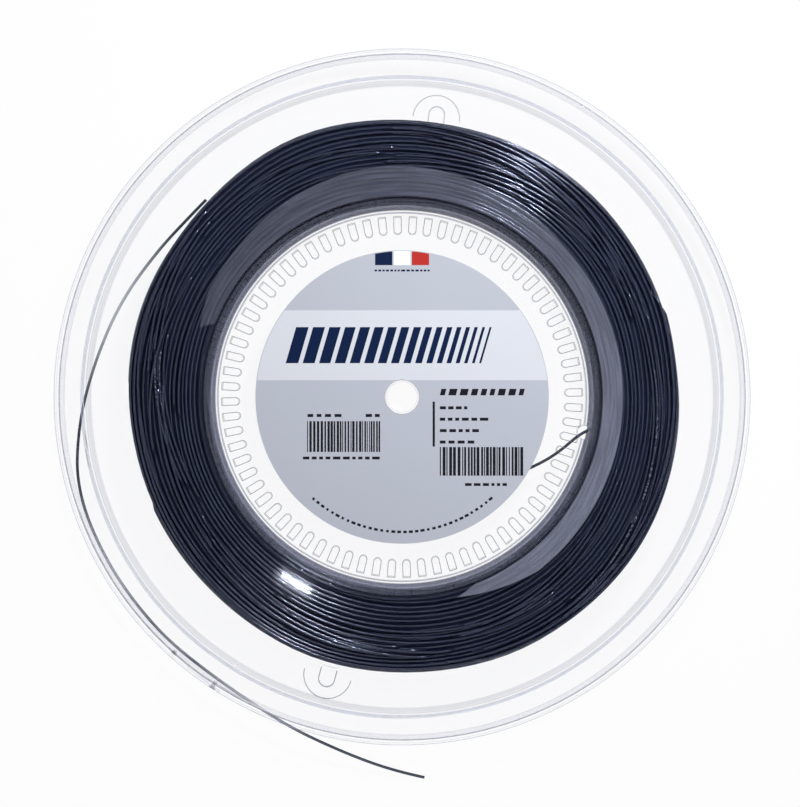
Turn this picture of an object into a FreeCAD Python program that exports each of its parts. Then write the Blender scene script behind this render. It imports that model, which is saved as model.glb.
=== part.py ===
import FreeCAD, Part
import math
import os

Vector = FreeCAD.Vector
UP = Vector(0, 0, 1)
AXIS_FOOT = Vector(0, 0, 0)

# All sizes are in millimetres and all angles in degrees, counted from +X towards +Y.
# The reel lies on its rear flange: its axis is Z, and Z is zero on the rear flange's face.

# Spool
REEL_HEIGHT = 22.0
MID_PLANE = REEL_HEIGHT / 2
WALL = 1.0
FLANGE_RADIUS = 148.8
STEP_RADIUS = 136.1
STEP_RUN = 1.2
STEP_DROP = 3.4
LIP_THICKNESS = 0.8
LIP_DEPTH = 1.2

# Hub cup of each half
CUP_DEPTH = 8.8
CUP_FLOOR_RADIUS = 80.5
CUP_MOUTH_RADIUS = 84.7
BORE_RADIUS = 6.5
BORE_BOSS_RADIUS = 9.5
RIB_THICKNESS = 1.5
FLIP_ANGLE = 169.0

# Ring of small pads on each cup floor
PAD_COUNT = 72
PAD_PHASE = 1.5
PAD_INNER_RADIUS = 69.9
PAD_OUTER_RADIUS = 77.7
PAD_WIDTH = 3.6
PAD_HEIGHT = 0.7

# Snap posts that join the halves, three posts and three sockets on each
POST_CIRCLE_RADIUS = 45.0
POST_RADIUS = 3.0
PIN_RADIUS = 1.5
PIN_REACH = 1.6
SOCKET_CLEARANCE = 0.05
SOCKET_EXTRA_DEPTH = 0.2

# Hole at the hub through which the string's first end is tucked
TIE_HOLE_RADIUS = 3.0
TIE_HOLE_CENTRE = 79.8
TIE_HOLE_TOP = MID_PLANE + 3.2

# Clip tongue in the flange
CLIP_ANGLE = 255.0
CLIP_ROOT_RADIUS = 118.9
CLIP_LENGTH = 8.4
CLIP_WIDTH = 6.6
CLIP_SLOT = 0.5
CLIP_HINGE_GAP = 0.15
CLIP_RELIEF_RADIUS = 0.7
CLIP_DISH_RADIUS = 10.6
CLIP_DISH_CENTRE = 122.0
CLIP_DISH_DEPTH = 0.4

# Paper labels
LABEL_RADIUS = 63.0
LABEL_HOLE_RADIUS = 7.3
LABEL_THICKNESS = 0.25

# Rim band
BAND_INNER_RADIUS = 146.4
BAND_THICKNESS = 0.5
BAND_GAP = 0.3
SLIT_ANGLE = 242.8
SLIT_LENGTH = 21.5
SLIT_HEIGHT = 3.4
TAIL_START = 226.5
TAIL_END = 238.2
TAIL_LIFT = 2.3
TAIL_HEIGHT = 7.2
WINDOW_ANGLE = 232.6
WINDOW_LENGTH = 6.4
WINDOW_HEIGHT = 3.2
PEG_ANGLES = {"band_peg_first": 228.3, "band_peg_last": 236.8}
PEG_RADIUS = 0.9
PEG_HEAD_RADIUS = 1.6
PEG_HEAD_THICKNESS = 0.5

# String
STRING_DIAMETER = 1.3
STRING_RADIUS = STRING_DIAMETER / 2

# Wound string: a plain core under one layer of turns
WINDING_RADIUS = 118.0
WINDING_SIDE_GAP = 0.15
TURNS_SINK = 0.15
TURN_COUNT = 17
TURNS_INNER_RADIUS = 88.0
TURNS_LAST_HEIGHT = 2.6
TURNS_SHOULDER = 5.0
TURNS_END_ANGLE = 130.0
TURNS_BEND_RADIUS = 2.6
CORE_HUB_GAP = 0.12
CORE_REAR_FILLET = 1.5
ARC_SAMPLES = 24

# Free end of the string, from the winding through the slit to the ground beside the reel
LOOSE_END_ROUTE = [
    (-90.8, 79.9, 12.6),
    (-105.5, 62.5, 12.2),
    (-121.5, 40.5, 11.7),
    (-132.0, 14.0, 11.4),
    (-140.2, -12.0, 11.1),
    (-140.9, -40.4, 11.0),
    (-127.6, -72.2, 11.0),
    (-107.1, -99.9, 11.0),
    (-85.6, -117.5, 11.0),
    (-52.7, -140.2, 10.2),
    (-27.5, -153.0, 6.4),
    (-4.0, -162.6, 2.0),
    (9.7, -165.7, 0.7),
]

# Inner end of the string, from the winding through the tie-in hole to its place between the floors
INNER_END_ROUTE = [
    (82.9, -13.3, MID_PLANE),
    (77.6, -14.9, MID_PLANE),
    (68.0, -23.4, MID_PLANE),
    (58.6, -29.2, MID_PLANE),
    (49.4, -33.0, MID_PLANE),
]

# Worked out from the driving dimensions
RIM_TOP = REEL_HEIGHT - STEP_DROP
FLOOR_TOP = REEL_HEIGHT - CUP_DEPTH
FLOOR_BOTTOM = FLOOR_TOP - WALL
CUP_SLOPE = (CUP_MOUTH_RADIUS - CUP_FLOOR_RADIUS) / CUP_DEPTH
CUP_WALL = WALL * math.hypot(1.0, CUP_SLOPE)
STEP_SLOPE = STEP_RUN / STEP_DROP
STEP_WALL = WALL * math.hypot(1.0, STEP_SLOPE)
BAND_OUTER_RADIUS = BAND_INNER_RADIUS + BAND_THICKNESS
BAND_TOP = RIM_TOP - WALL - BAND_GAP
BAND_BOTTOM = REEL_HEIGHT - BAND_TOP
TURNS_RADIUS = WINDING_RADIUS - STRING_RADIUS
TURNS_TOP = REEL_HEIGHT - WALL - WINDING_SIDE_GAP - STRING_RADIUS


def polar(radius, angle, height=0.0):
    """A point at a radius and an angle round the reel's axis."""
    turn = math.radians(angle)
    return Vector(radius * math.cos(turn), radius * math.sin(turn), height)


def hub_outside(height):
    """Radius of the front cup wall's winding side at a height."""
    return CUP_FLOOR_RADIUS + CUP_WALL + (height - FLOOR_TOP) * CUP_SLOPE


def rounded_ring(corners):
    """Ring made by turning a section about the axis; each corner is (radius, height, fillet)."""
    points = [Vector(radius, 0, height) for radius, height, fillet in corners]
    edges = []
    ends = []
    for place, corner in enumerate(points):
        fillet = corners[place][2]
        before = (points[place - 1] - corner).normalize()
        after = (points[(place + 1) % len(points)] - corner).normalize()
        half = before.getAngle(after) / 2
        reach = fillet / math.tan(half)
        first = corner + before * reach
        last = corner + after * reach
        ends.append((first, last))
        if fillet > 0:
            inward = (before + after).normalize()
            middle = corner + inward * (fillet / math.sin(half) - fillet)
            edges.append(Part.Arc(first, middle, last).toShape())
    for place in range(len(points)):
        start = ends[place][1]
        stop = ends[(place + 1) % len(points)][0]
        edges.append(Part.LineSegment(start, stop).toShape())
    section = Part.Wire(Part.__sortEdges__(edges))
    return Part.Face(section).revolve(AXIS_FOOT, UP, 360)


def cylinder(radius, bottom, top, centre=AXIS_FOOT):
    """Upright cylinder between two heights."""
    foot = Vector(centre.x, centre.y, bottom)
    return Part.makeCylinder(radius, top - bottom, foot, UP)


def turned(shape, angle):
    """Copy of a shape turned about the reel's axis."""
    copy = shape.copy()
    copy.rotate(AXIS_FOOT, UP, angle)
    return copy


def flipped(shape):
    """Copy of a front piece turned over to the rear of the reel."""
    copy = shape.copy()
    copy.rotate(Vector(0, 0, MID_PLANE), polar(1, FLIP_ANGLE), 180)
    return copy


def stadium_end(inner, outer, half_width, round_outer, bottom, top):
    """Prism along +X with one square end and one half-round end."""
    square, tip = (inner, outer) if round_outer else (outer, inner)
    side = half_width if round_outer else -half_width
    centre = tip - side
    corners = [
        Vector(square, -half_width, bottom),
        Vector(centre, -half_width, bottom),
        Vector(centre, half_width, bottom),
        Vector(square, half_width, bottom),
    ]
    edges = [
        Part.LineSegment(corners[0], corners[1]).toShape(),
        Part.Arc(corners[1], Vector(tip, 0, bottom), corners[2]).toShape(),
        Part.LineSegment(corners[2], corners[3]).toShape(),
        Part.LineSegment(corners[3], corners[0]).toShape(),
    ]
    return Part.Face(Part.Wire(edges)).extrude(Vector(0, 0, top - bottom))


def slot_through_band(angle, length, height, reach):
    """Round-ended slot that crosses the band's wall from inside to outside."""
    half_height = height / 2
    half_run = length / 2 - half_height
    radius = BAND_INNER_RADIUS - reach
    start = Vector(radius, -half_run, MID_PLANE)
    bars = [Part.makeCylinder(half_height, 2 * reach, start, Vector(1, 0, 0))]
    stop = Vector(radius, half_run, MID_PLANE)
    bars.append(Part.makeCylinder(half_height, 2 * reach, stop, Vector(1, 0, 0)))
    corner = Vector(radius, -half_run, MID_PLANE - half_height)
    block = Part.makeBox(2 * reach, 2 * half_run, height, corner)
    return turned(block.fuse(bars).removeSplitter(), angle)


def spool_shell():
    """Flange, step, rim, lip, cup wall, floor, rib and boss of the front half, all turned."""
    step_at_flange = STEP_RADIUS + WALL * STEP_SLOPE - STEP_WALL
    step_at_rim = STEP_RADIUS + (STEP_DROP + WALL) * STEP_SLOPE - STEP_WALL
    rib_outside = hub_outside(FLOOR_BOTTOM)
    return rounded_ring([
        (BORE_RADIUS, MID_PLANE, 0),
        (BORE_RADIUS, FLOOR_TOP, 0.2),
        (CUP_FLOOR_RADIUS, FLOOR_TOP, 0.6),
        (CUP_MOUTH_RADIUS, REEL_HEIGHT, 1.0),
        (STEP_RADIUS, REEL_HEIGHT, 0.5),
        (STEP_RADIUS + STEP_RUN, RIM_TOP, 0.5),
        (FLANGE_RADIUS, RIM_TOP, 0.5),
        (FLANGE_RADIUS, RIM_TOP - WALL - LIP_DEPTH, 0.2),
        (FLANGE_RADIUS - LIP_THICKNESS, RIM_TOP - WALL - LIP_DEPTH, 0.2),
        (FLANGE_RADIUS - LIP_THICKNESS, RIM_TOP - WALL, 0.1),
        (step_at_rim, RIM_TOP - WALL, 0.3),
        (step_at_flange, REEL_HEIGHT - WALL, 0.3),
        (hub_outside(REEL_HEIGHT - WALL), REEL_HEIGHT - WALL, 0.4),
        (rib_outside, FLOOR_BOTTOM, 0),
        (rib_outside, MID_PLANE, 0),
        (rib_outside - RIB_THICKNESS, MID_PLANE, 0),
        (rib_outside - RIB_THICKNESS, FLOOR_BOTTOM, 0),
        (BORE_BOSS_RADIUS, FLOOR_BOTTOM, 0),
        (BORE_BOSS_RADIUS, MID_PLANE, 0),
    ])


def floor_pads():
    """Ring of pads that stand on the cup floor, round at the inner end and square at the outer."""
    pad = stadium_end(PAD_INNER_RADIUS, PAD_OUTER_RADIUS, PAD_WIDTH / 2, False,
                      FLOOR_TOP - WALL / 4, FLOOR_TOP + PAD_HEIGHT)
    pitch = 360.0 / PAD_COUNT
    return [turned(pad, PAD_PHASE + pitch * place) for place in range(PAD_COUNT)]


def snap_posts():
    """Three posts with pins and three posts for sockets, between the cup floors."""
    posts = []
    sockets = []
    overlap = WALL / 4
    for place in range(3):
        pin_centre = polar(POST_CIRCLE_RADIUS, FLIP_ANGLE + 30 + 60 * place)
        posts.append(cylinder(POST_RADIUS, MID_PLANE, FLOOR_BOTTOM + overlap, pin_centre))
        posts.append(cylinder(PIN_RADIUS, MID_PLANE - PIN_REACH, MID_PLANE + overlap, pin_centre))
        socket_centre = polar(POST_CIRCLE_RADIUS, FLIP_ANGLE - 30 - 60 * place)
        posts.append(cylinder(POST_RADIUS, MID_PLANE, FLOOR_BOTTOM + overlap, socket_centre))
        depth = PIN_REACH + SOCKET_EXTRA_DEPTH
        sockets.append(cylinder(PIN_RADIUS + SOCKET_CLEARANCE, MID_PLANE, MID_PLANE + depth, socket_centre))
    return posts, sockets


def clip_cuts():
    """What the clip takes out of the flange: a round dish, the slot round the tongue, two reliefs."""
    below = REEL_HEIGHT - 2 * WALL
    dish = cylinder(CLIP_DISH_RADIUS, REEL_HEIGHT - CLIP_DISH_DEPTH, REEL_HEIGHT + WALL,
                    polar(CLIP_DISH_CENTRE, CLIP_ANGLE))
    slot = stadium_end(CLIP_ROOT_RADIUS - CLIP_HINGE_GAP, CLIP_ROOT_RADIUS + CLIP_LENGTH + CLIP_SLOT,
                       CLIP_WIDTH / 2 + CLIP_SLOT, True, below, REEL_HEIGHT + WALL)
    cuts = [dish, turned(slot, CLIP_ANGLE)]
    for side in (-1, 1):
        offset = side * (CLIP_WIDTH / 2 + CLIP_RELIEF_RADIUS)
        relief = cylinder(CLIP_RELIEF_RADIUS, below, REEL_HEIGHT + WALL,
                          Vector(CLIP_ROOT_RADIUS, offset, 0))
        cuts.append(turned(relief, CLIP_ANGLE))
    return cuts


def clip_tongue():
    """The tongue itself, as thick as the flange under the dish."""
    tongue = stadium_end(CLIP_ROOT_RADIUS, CLIP_ROOT_RADIUS + CLIP_LENGTH, CLIP_WIDTH / 2, True,
                         REEL_HEIGHT - WALL, REEL_HEIGHT - CLIP_DISH_DEPTH)
    return turned(tongue, CLIP_ANGLE)


def front_half():
    """One moulded half of the spool."""
    posts, sockets = snap_posts()
    half = spool_shell().fuse(floor_pads() + posts)
    tie_hole = cylinder(TIE_HOLE_RADIUS, MID_PLANE - WALL, TIE_HOLE_TOP,
                        polar(TIE_HOLE_CENTRE, FLIP_ANGLE + 180))
    return half.cut(sockets + clip_cuts() + [tie_hole]).removeSplitter()


def label():
    """Round paper label on the front cup's floor."""
    disc = cylinder(LABEL_RADIUS, FLOOR_TOP, FLOOR_TOP + LABEL_THICKNESS)
    return disc.cut(cylinder(LABEL_HOLE_RADIUS, FLOOR_TOP - 1, FLOOR_TOP + 1))


def tail_radius(angle):
    """Inner radius of the tail, which springs away from the band towards its end."""
    share = (angle - TAIL_START) / (TAIL_END - TAIL_START)
    return BAND_OUTER_RADIUS + TAIL_LIFT * share * share


def band_tail():
    """End of the strip that laps over its own start, joined to the hoop at one end."""
    middle = (TAIL_START + TAIL_END) / 2
    low = MID_PLANE - TAIL_HEIGHT / 2
    sink = BAND_THICKNESS / 5
    inside = [polar(tail_radius(angle) - sink, angle, low) for angle in (TAIL_START, middle, TAIL_END)]
    outside = [polar(tail_radius(angle) + BAND_THICKNESS, angle, low)
               for angle in (TAIL_START, middle, TAIL_END)]
    edges = [
        Part.Arc(inside[0], inside[1], inside[2]).toShape(),
        Part.LineSegment(inside[2], outside[2]).toShape(),
        Part.Arc(outside[2], outside[1], outside[0]).toShape(),
        Part.LineSegment(outside[0], inside[0]).toShape(),
    ]
    return Part.Face(Part.Wire(edges)).extrude(Vector(0, 0, TAIL_HEIGHT))


def peg(angle):
    """Snap peg through the band and the tail, with its head outside."""
    out = polar(1, angle)
    reach = tail_radius(angle) + BAND_THICKNESS
    foot = polar(BAND_INNER_RADIUS + BAND_THICKNESS / 10, angle, MID_PLANE)
    shank = Part.makeCylinder(PEG_RADIUS, reach + PEG_HEAD_THICKNESS - foot.dot(out), foot, out)
    head = Part.makeCylinder(PEG_HEAD_RADIUS, PEG_HEAD_THICKNESS, polar(reach, angle, MID_PLANE), out)
    return shank.fuse(head).removeSplitter()


def rim_band():
    """Hoop between the rims, with the string's slit, the window and holes for the pegs."""
    hoop = cylinder(BAND_OUTER_RADIUS, BAND_BOTTOM, BAND_TOP)
    hoop = hoop.cut(cylinder(BAND_INNER_RADIUS, 0, REEL_HEIGHT))
    strip = hoop.fuse(band_tail())
    reach = 3 * BAND_THICKNESS + TAIL_LIFT
    slit = slot_through_band(SLIT_ANGLE, SLIT_LENGTH, SLIT_HEIGHT, reach)
    window = slot_through_band(WINDOW_ANGLE, WINDOW_LENGTH, WINDOW_HEIGHT, reach)
    window = window.cut(cylinder(BAND_OUTER_RADIUS, 0, REEL_HEIGHT))
    pegs = [peg(angle) for angle in PEG_ANGLES.values()]
    return strip.cut([slit, window] + pegs).removeSplitter()


def tube(edges, start, direction):
    """Round string of the string's diameter along tangent lines and arcs."""
    path = Part.Wire(edges)
    circle = Part.Wire(Part.Circle(start, direction, STRING_RADIUS).toShape())
    solid = path.makePipeShell([circle], True, False)
    expected = math.pi * STRING_RADIUS ** 2 * path.Length
    return solid, path.Length, solid.Volume / expected


def routed_string(name, route):
    """String along straight runs joined by arcs as large as the runs allow."""
    points = [Vector(*point) for point in route]
    edges = []
    radii = []
    here = points[0]
    for before, corner, after in zip(points, points[1:], points[2:]):
        back = before - corner
        ahead = after - corner
        shorter = min(back.Length, ahead.Length)
        back.normalize()
        ahead.normalize()
        half_turn = (math.pi - back.getAngle(ahead)) / 2
        reach = 0.45 * shorter
        radius = reach / math.tan(half_turn)
        first = corner + back * reach
        last = corner + ahead * reach
        inward = (back + ahead).normalize()
        middle = corner + inward * (radius / math.cos(half_turn) - radius)
        edges.append(Part.LineSegment(here, first).toShape())
        edges.append(Part.Arc(first, middle, last).toShape())
        radii.append(round(radius, 1))
        here = last
    edges.append(Part.LineSegment(here, points[-1]).toShape())
    solid, length, ratio = tube(edges, points[0], points[1] - points[0])
    print(name, "length", round(length, 1), "radii", radii, "volume ratio", round(ratio, 4))
    return solid


def turns_section(travel):
    """Radius and height of the string's middle, after a travel along the winding's outline."""
    flat = TURNS_RADIUS - TURNS_SHOULDER - TURNS_INNER_RADIUS
    bend = TURNS_SHOULDER * math.pi / 2
    if travel < flat:
        return TURNS_INNER_RADIUS + travel, TURNS_TOP
    if travel < flat + bend:
        turn = (travel - flat) / TURNS_SHOULDER
        radius = TURNS_RADIUS - TURNS_SHOULDER + TURNS_SHOULDER * math.sin(turn)
        return radius, TURNS_TOP - TURNS_SHOULDER + TURNS_SHOULDER * math.cos(turn)
    return TURNS_RADIUS, TURNS_TOP - TURNS_SHOULDER - (travel - flat - bend)


def turns_travel():
    """Whole travel of the turns: over the front face, round the shoulder and down the outside."""
    flat = TURNS_RADIUS - TURNS_SHOULDER - TURNS_INNER_RADIUS
    down = TURNS_TOP - TURNS_SHOULDER - TURNS_LAST_HEIGHT
    return flat + TURNS_SHOULDER * math.pi / 2 + down


def turns_point(turn):
    """Point of the wound string's middle after a number of turns."""
    radius, height = turns_section(turns_travel() * turn / TURN_COUNT)
    return polar(radius, TURNS_END_ANGLE + 360 * turn, height)


def turns_direction(turn):
    """Direction in which the wound string runs there."""
    step = 0.001
    low = max(turn - step, 0)
    high = min(turn + step, TURN_COUNT)
    return (turns_point(high) - turns_point(low)).normalize()


def arc_to(start, leaving, end):
    """Arc that leaves a point in a given direction and ends at another point."""
    chord = end - start
    angle = leaving.getAngle(chord)
    side = leaving - chord * (leaving.dot(chord) / chord.dot(chord))
    side.normalize()
    sagitta = chord.Length / 2 * math.tan(angle / 2)
    return Part.Arc(start, (start + end) / 2 + side * sagitta, end).toShape()


def biarc(start, leaving, end, arriving):
    """Two arcs that join two points with the given directions and no corner between them."""
    chord = end - start
    total = leaving + arriving
    spread = 2 * (1 - leaving.dot(arriving))
    along = chord.dot(total)
    reach = (math.sqrt(along * along + chord.dot(chord) * spread) - along) / spread
    joint = (start + leaving * reach + end - arriving * reach) / 2
    heading = (end - arriving * reach) - (start + leaving * reach)
    heading.normalize()
    return [arc_to(start, leaving, joint), arc_to(joint, heading, end)]


def winding_turns():
    """The winding's outer layer: one string in a spiral, with both ends turned into the core."""
    bend = TURNS_BEND_RADIUS
    slant = math.sqrt(0.5)
    first = turns_point(0)
    setting_off = turns_direction(0)
    entry = first - UP * bend - setting_off * bend
    start = entry - UP * STRING_DIAMETER
    edges = [Part.LineSegment(start, entry).toShape()]
    middle = first - UP * bend + (UP - setting_off) * (bend * slant)
    edges.append(Part.Arc(entry, middle, first).toShape())
    samples = []
    half_turns = 2 * TURN_COUNT
    for place in range(half_turns):
        low = place / 2
        high = (place + 1) / 2
        pair = biarc(turns_point(low), turns_direction(low), turns_point(high), turns_direction(high))
        for edge in pair:
            edges.append(edge)
            samples.append(edge.discretize(ARC_SAMPLES + 1)[:-1])
    last = turns_point(TURN_COUNT)
    arriving = turns_direction(TURN_COUNT)
    outward = Vector(last.x, last.y, 0).normalize()
    exit_point = last - outward * bend + arriving * bend
    middle = last - outward * bend + (outward + arriving) * (bend * slant)
    edges.append(Part.Arc(last, middle, exit_point).toShape())
    edges.append(Part.LineSegment(exit_point, exit_point - outward * STRING_DIAMETER).toShape())
    solid, length, ratio = tube(edges, start, UP)
    gap = least_gap([point for part in samples for point in part])
    print("winding_turns length", round(length), "volume ratio", round(ratio, 4), "least gap", round(gap, 3))
    return solid


def least_gap(points):
    """Least clear gap of the wound string to itself, from points along its middle."""
    per_turn = 4 * ARC_SAMPLES
    least = TURNS_RADIUS
    for place, point in enumerate(points):
        for other in range(place + per_turn // 2, min(place + 2 * per_turn, len(points))):
            least = min(least, point.distanceToPoint(points[other]))
    return least - STRING_DIAMETER


def winding_core():
    """Plain ring under the turns, with the hub's two cones inside."""
    sunk = STRING_RADIUS - TURNS_SINK
    outside = TURNS_RADIUS - sunk
    top = TURNS_TOP - sunk
    bottom = WALL + WINDING_SIDE_GAP
    waist = hub_outside(FLOOR_BOTTOM) + CORE_HUB_GAP
    return rounded_ring([
        (waist, FLOOR_BOTTOM, 0),
        (hub_outside(top) + CORE_HUB_GAP, top, 0),
        (outside, top, TURNS_SHOULDER - sunk),
        (outside, bottom, CORE_REAR_FILLET),
        (hub_outside(REEL_HEIGHT - bottom) + CORE_HUB_GAP, bottom, 0),
        (waist, REEL_HEIGHT - FLOOR_BOTTOM, 0),
    ])


def build():
    """Every node of the reel by name."""
    half = front_half()
    tongue = clip_tongue()
    paper = label()
    nodes = {
        "front_half": half,
        "rear_half": flipped(half),
        "front_clip_tongue": tongue,
        "rear_clip_tongue": flipped(tongue),
        "front_label": paper,
        "rear_label": flipped(paper),
        "rim_band": rim_band(),
        "winding_core": winding_core(),
        "winding_turns": winding_turns(),
        "string_inner_end": routed_string("string_inner_end", INNER_END_ROUTE),
        "string_loose_end": routed_string("string_loose_end", LOOSE_END_ROUTE),
    }
    nodes.update({name: peg(angle) for name, angle in PEG_ANGLES.items()})
    return nodes


os.makedirs("parts", exist_ok=True)
for node, shape in build().items():
    box = shape.BoundBox
    print(node, "valid", shape.isValid(), "solids", len(shape.Solids), "volume", round(shape.Volume, 1),
          "z", round(box.ZMin, 2), round(box.ZMax, 2))
    shape.exportStep(f"parts/{node}.step")
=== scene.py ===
import logging
import math
from dataclasses import dataclass
from enum import Enum
from typing import Callable, Sequence

import bmesh
import bpy
import numpy as np
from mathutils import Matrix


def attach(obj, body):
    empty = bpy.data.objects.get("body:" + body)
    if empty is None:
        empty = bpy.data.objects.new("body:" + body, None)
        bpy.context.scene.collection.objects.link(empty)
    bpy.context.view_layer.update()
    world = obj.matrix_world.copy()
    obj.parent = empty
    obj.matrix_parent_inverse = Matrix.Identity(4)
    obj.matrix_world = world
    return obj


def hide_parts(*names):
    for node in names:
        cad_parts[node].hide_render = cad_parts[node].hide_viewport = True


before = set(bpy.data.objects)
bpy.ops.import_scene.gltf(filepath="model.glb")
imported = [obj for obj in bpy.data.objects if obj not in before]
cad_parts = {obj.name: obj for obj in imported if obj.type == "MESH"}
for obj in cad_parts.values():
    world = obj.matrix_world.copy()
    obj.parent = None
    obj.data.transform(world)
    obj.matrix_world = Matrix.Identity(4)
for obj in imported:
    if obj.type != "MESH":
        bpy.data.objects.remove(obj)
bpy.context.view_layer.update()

log = logging.getLogger("string_reel")

# Places shared by several pieces, in metres and degrees, as the CAD has them
REEL_HEIGHT = 0.022
MID_PLANE = REEL_HEIGHT / 2
FLIP_ANGLE = 169.0
STEP_RADIUS = 0.1361
STEP_FOOT_RADIUS = 0.1373
CUP_FLOOR = 0.0132
CUP_FLOOR_RADIUS = 0.0805
CUP_MOUTH_RADIUS = 0.0847
BORE_RADIUS = 0.0065
STRING_DIAMETER = 0.0013
STRING_RADIUS = STRING_DIAMETER / 2


class Face(Enum):
    """The two like halves of the reel, each turned over from the other."""

    FRONT = "front"
    REAR = "rear"

    def placed(self, points: np.ndarray) -> np.ndarray:
        """Puts points made for the front face onto this face.

        The rear is the front turned half round about the level line at FLIP_ANGLE through the
        reel's middle: p becomes 2 (p . a) a - p, with p measured from the middle.

        Args:
            points: Points of the front face, one a row, in metres.

        Returns:
            The points on this face.
        """
        if self is Face.FRONT:
            return points
        angle = math.radians(FLIP_ANGLE)
        axis = np.array([math.cos(angle), math.sin(angle), 0.0])
        middle = np.array([0.0, 0.0, MID_PLANE])
        away = points - middle
        return 2 * (away @ axis)[..., None] * axis - away + middle


def polar_points(radius: np.ndarray, angle: np.ndarray, height: np.ndarray) -> np.ndarray:
    """Points from radii, angles in radians and heights, as arrays of one shape."""
    radius, angle, height = np.broadcast_arrays(radius, angle, height)
    return np.stack([radius * np.cos(angle), radius * np.sin(angle), height], axis=-1)


def ease(share: np.ndarray) -> np.ndarray:
    """Smooth step: 3 s^2 - 2 s^3 of a share held between 0 and 1."""
    held = np.clip(share, 0.0, 1.0)
    return held * held * (3 - 2 * held)


def hump(angle: np.ndarray, middle: float, width: float) -> np.ndarray:
    """Round hump of height 1 about an angle: exp of minus the squared turn over the width, in degrees."""
    turn = (np.degrees(angle) - middle + 180) % 360 - 180
    return np.exp(-((turn / width) ** 2))


# Mesh making


def linked(name: str, data: bpy.types.ID) -> bpy.types.Object:
    """Makes an object from its data and links it to the scene."""
    made = bpy.data.objects.new(name, data)
    bpy.context.scene.collection.objects.link(made)
    return made


def mesh_object(name: str, points: np.ndarray, *faces: np.ndarray) -> bpy.types.Object:
    """Makes an object from points and from arrays of faces with equal corner counts.

    Args:
        name: Name of the piece.
        points: Points, one a row, in metres.
        faces: Arrays of point numbers, one face a row, each array with its own corner count.

    Returns:
        The new object, linked to the scene, with smooth faces.
    """
    mesh = bpy.data.meshes.new(name)
    mesh.vertices.add(len(points))
    mesh.vertices.foreach_set("co", np.ascontiguousarray(points, np.float32).ravel())
    corners = np.concatenate([part.ravel() for part in faces]).astype(np.int32)
    counts = np.concatenate([np.full(len(part), part.shape[1]) for part in faces])
    mesh.loops.add(len(corners))
    mesh.loops.foreach_set("vertex_index", corners)
    mesh.polygons.add(len(counts))
    starts = np.concatenate([[0], np.cumsum(counts)[:-1]]).astype(np.int32)
    mesh.polygons.foreach_set("loop_start", starts)
    mesh.polygons.foreach_set("use_smooth", np.ones(len(counts), bool))
    mesh.update(calc_edges=True)
    mesh.validate()
    return linked(name, mesh)


@dataclass(frozen=True)
class Tubes:
    """A batch of round tubes of one size, each along its own line of points.

    Attributes:
        lines: Points along each tube, as an array of tubes x steps x 3, in metres.
        radius: Radius of the tubes.
        sides: Faces round each tube.
        closed: Whether each line comes back to its start, which leaves out the end caps.
    """

    lines: np.ndarray
    radius: float
    sides: int = 8
    closed: bool = False

    def rings(self) -> np.ndarray:
        """Points round each tube.

        At each step the ring is radius (side cos a + lift sin a), with side level and square to the
        line, and lift square to both.

        Returns:
            An array of tubes x steps x sides x 3.
        """
        if self.closed:
            ahead = np.roll(self.lines, -1, axis=1) - np.roll(self.lines, 1, axis=1)
        else:
            ahead = np.gradient(self.lines, axis=1)
        ahead /= np.linalg.norm(ahead, axis=-1, keepdims=True)
        side = np.cross(np.array([0.0, 0.0, 1.0]), ahead)
        side /= np.linalg.norm(side, axis=-1, keepdims=True)
        lift = np.cross(ahead, side)
        turn = np.arange(self.sides) * (2 * math.pi / self.sides)
        ring = side[..., None, :] * np.cos(turn)[:, None] + lift[..., None, :] * np.sin(turn)[:, None]
        return self.lines[..., None, :] + self.radius * ring

    def faces(self) -> tuple[np.ndarray, np.ndarray]:
        """Side faces and end caps, facing outwards.

        Returns:
            The four-cornered side faces and the many-cornered end caps, as point numbers.
        """
        count, steps = self.lines.shape[:2]
        number = np.arange(count * steps * self.sides).reshape(count, steps, self.sides)
        onward = np.roll(number, -1, axis=1) if self.closed else number[:, 1:]
        here = number if self.closed else number[:, :-1]
        quads = np.stack([here, np.roll(here, -1, axis=2), np.roll(onward, -1, axis=2), onward], axis=-1)
        if self.closed:
            return quads.reshape(-1, 4), np.empty((0, self.sides), int)
        return quads.reshape(-1, 4), np.concatenate([number[:, 0, ::-1], number[:, -1]])

    def made(self, name: str) -> bpy.types.Object:
        """Makes the tubes as one object, with a UV map of turns along each tube and round it.

        Args:
            name: Name of the piece.

        Returns:
            The new object.
        """
        quads, caps = self.faces()
        tubes = mesh_object(name, self.rings().reshape(-1, 3), quads, *([caps] if len(caps) else []))
        gaps = np.linalg.norm(np.diff(self.lines, axis=1), axis=-1)
        along = np.concatenate([np.zeros((len(gaps), 1)), np.cumsum(gaps, axis=1)], axis=1)
        along /= 2 * self.radius
        if self.closed:
            onward = np.concatenate([along[:, 1:], along[:, -1:] + along[:, 1:2]], axis=1)
        else:
            along, onward = along[:, :-1], along[:, 1:]
        place = np.arange(self.sides) / self.sides
        near = np.broadcast_to(place, along.shape + (self.sides,))
        far = near + 1 / self.sides
        low = np.broadcast_to(along[..., None], near.shape)
        high = np.broadcast_to(onward[..., None], near.shape)
        corners = np.stack([low, near, low, far, high, far, high, near], axis=-1).reshape(-1, 2)
        flat = np.zeros((caps.size, 2))
        layer = tubes.data.uv_layers.new(name="along_and_round")
        layer.data.foreach_set("uv", np.concatenate([corners, flat]).astype(np.float32).ravel())
        return tubes


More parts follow.
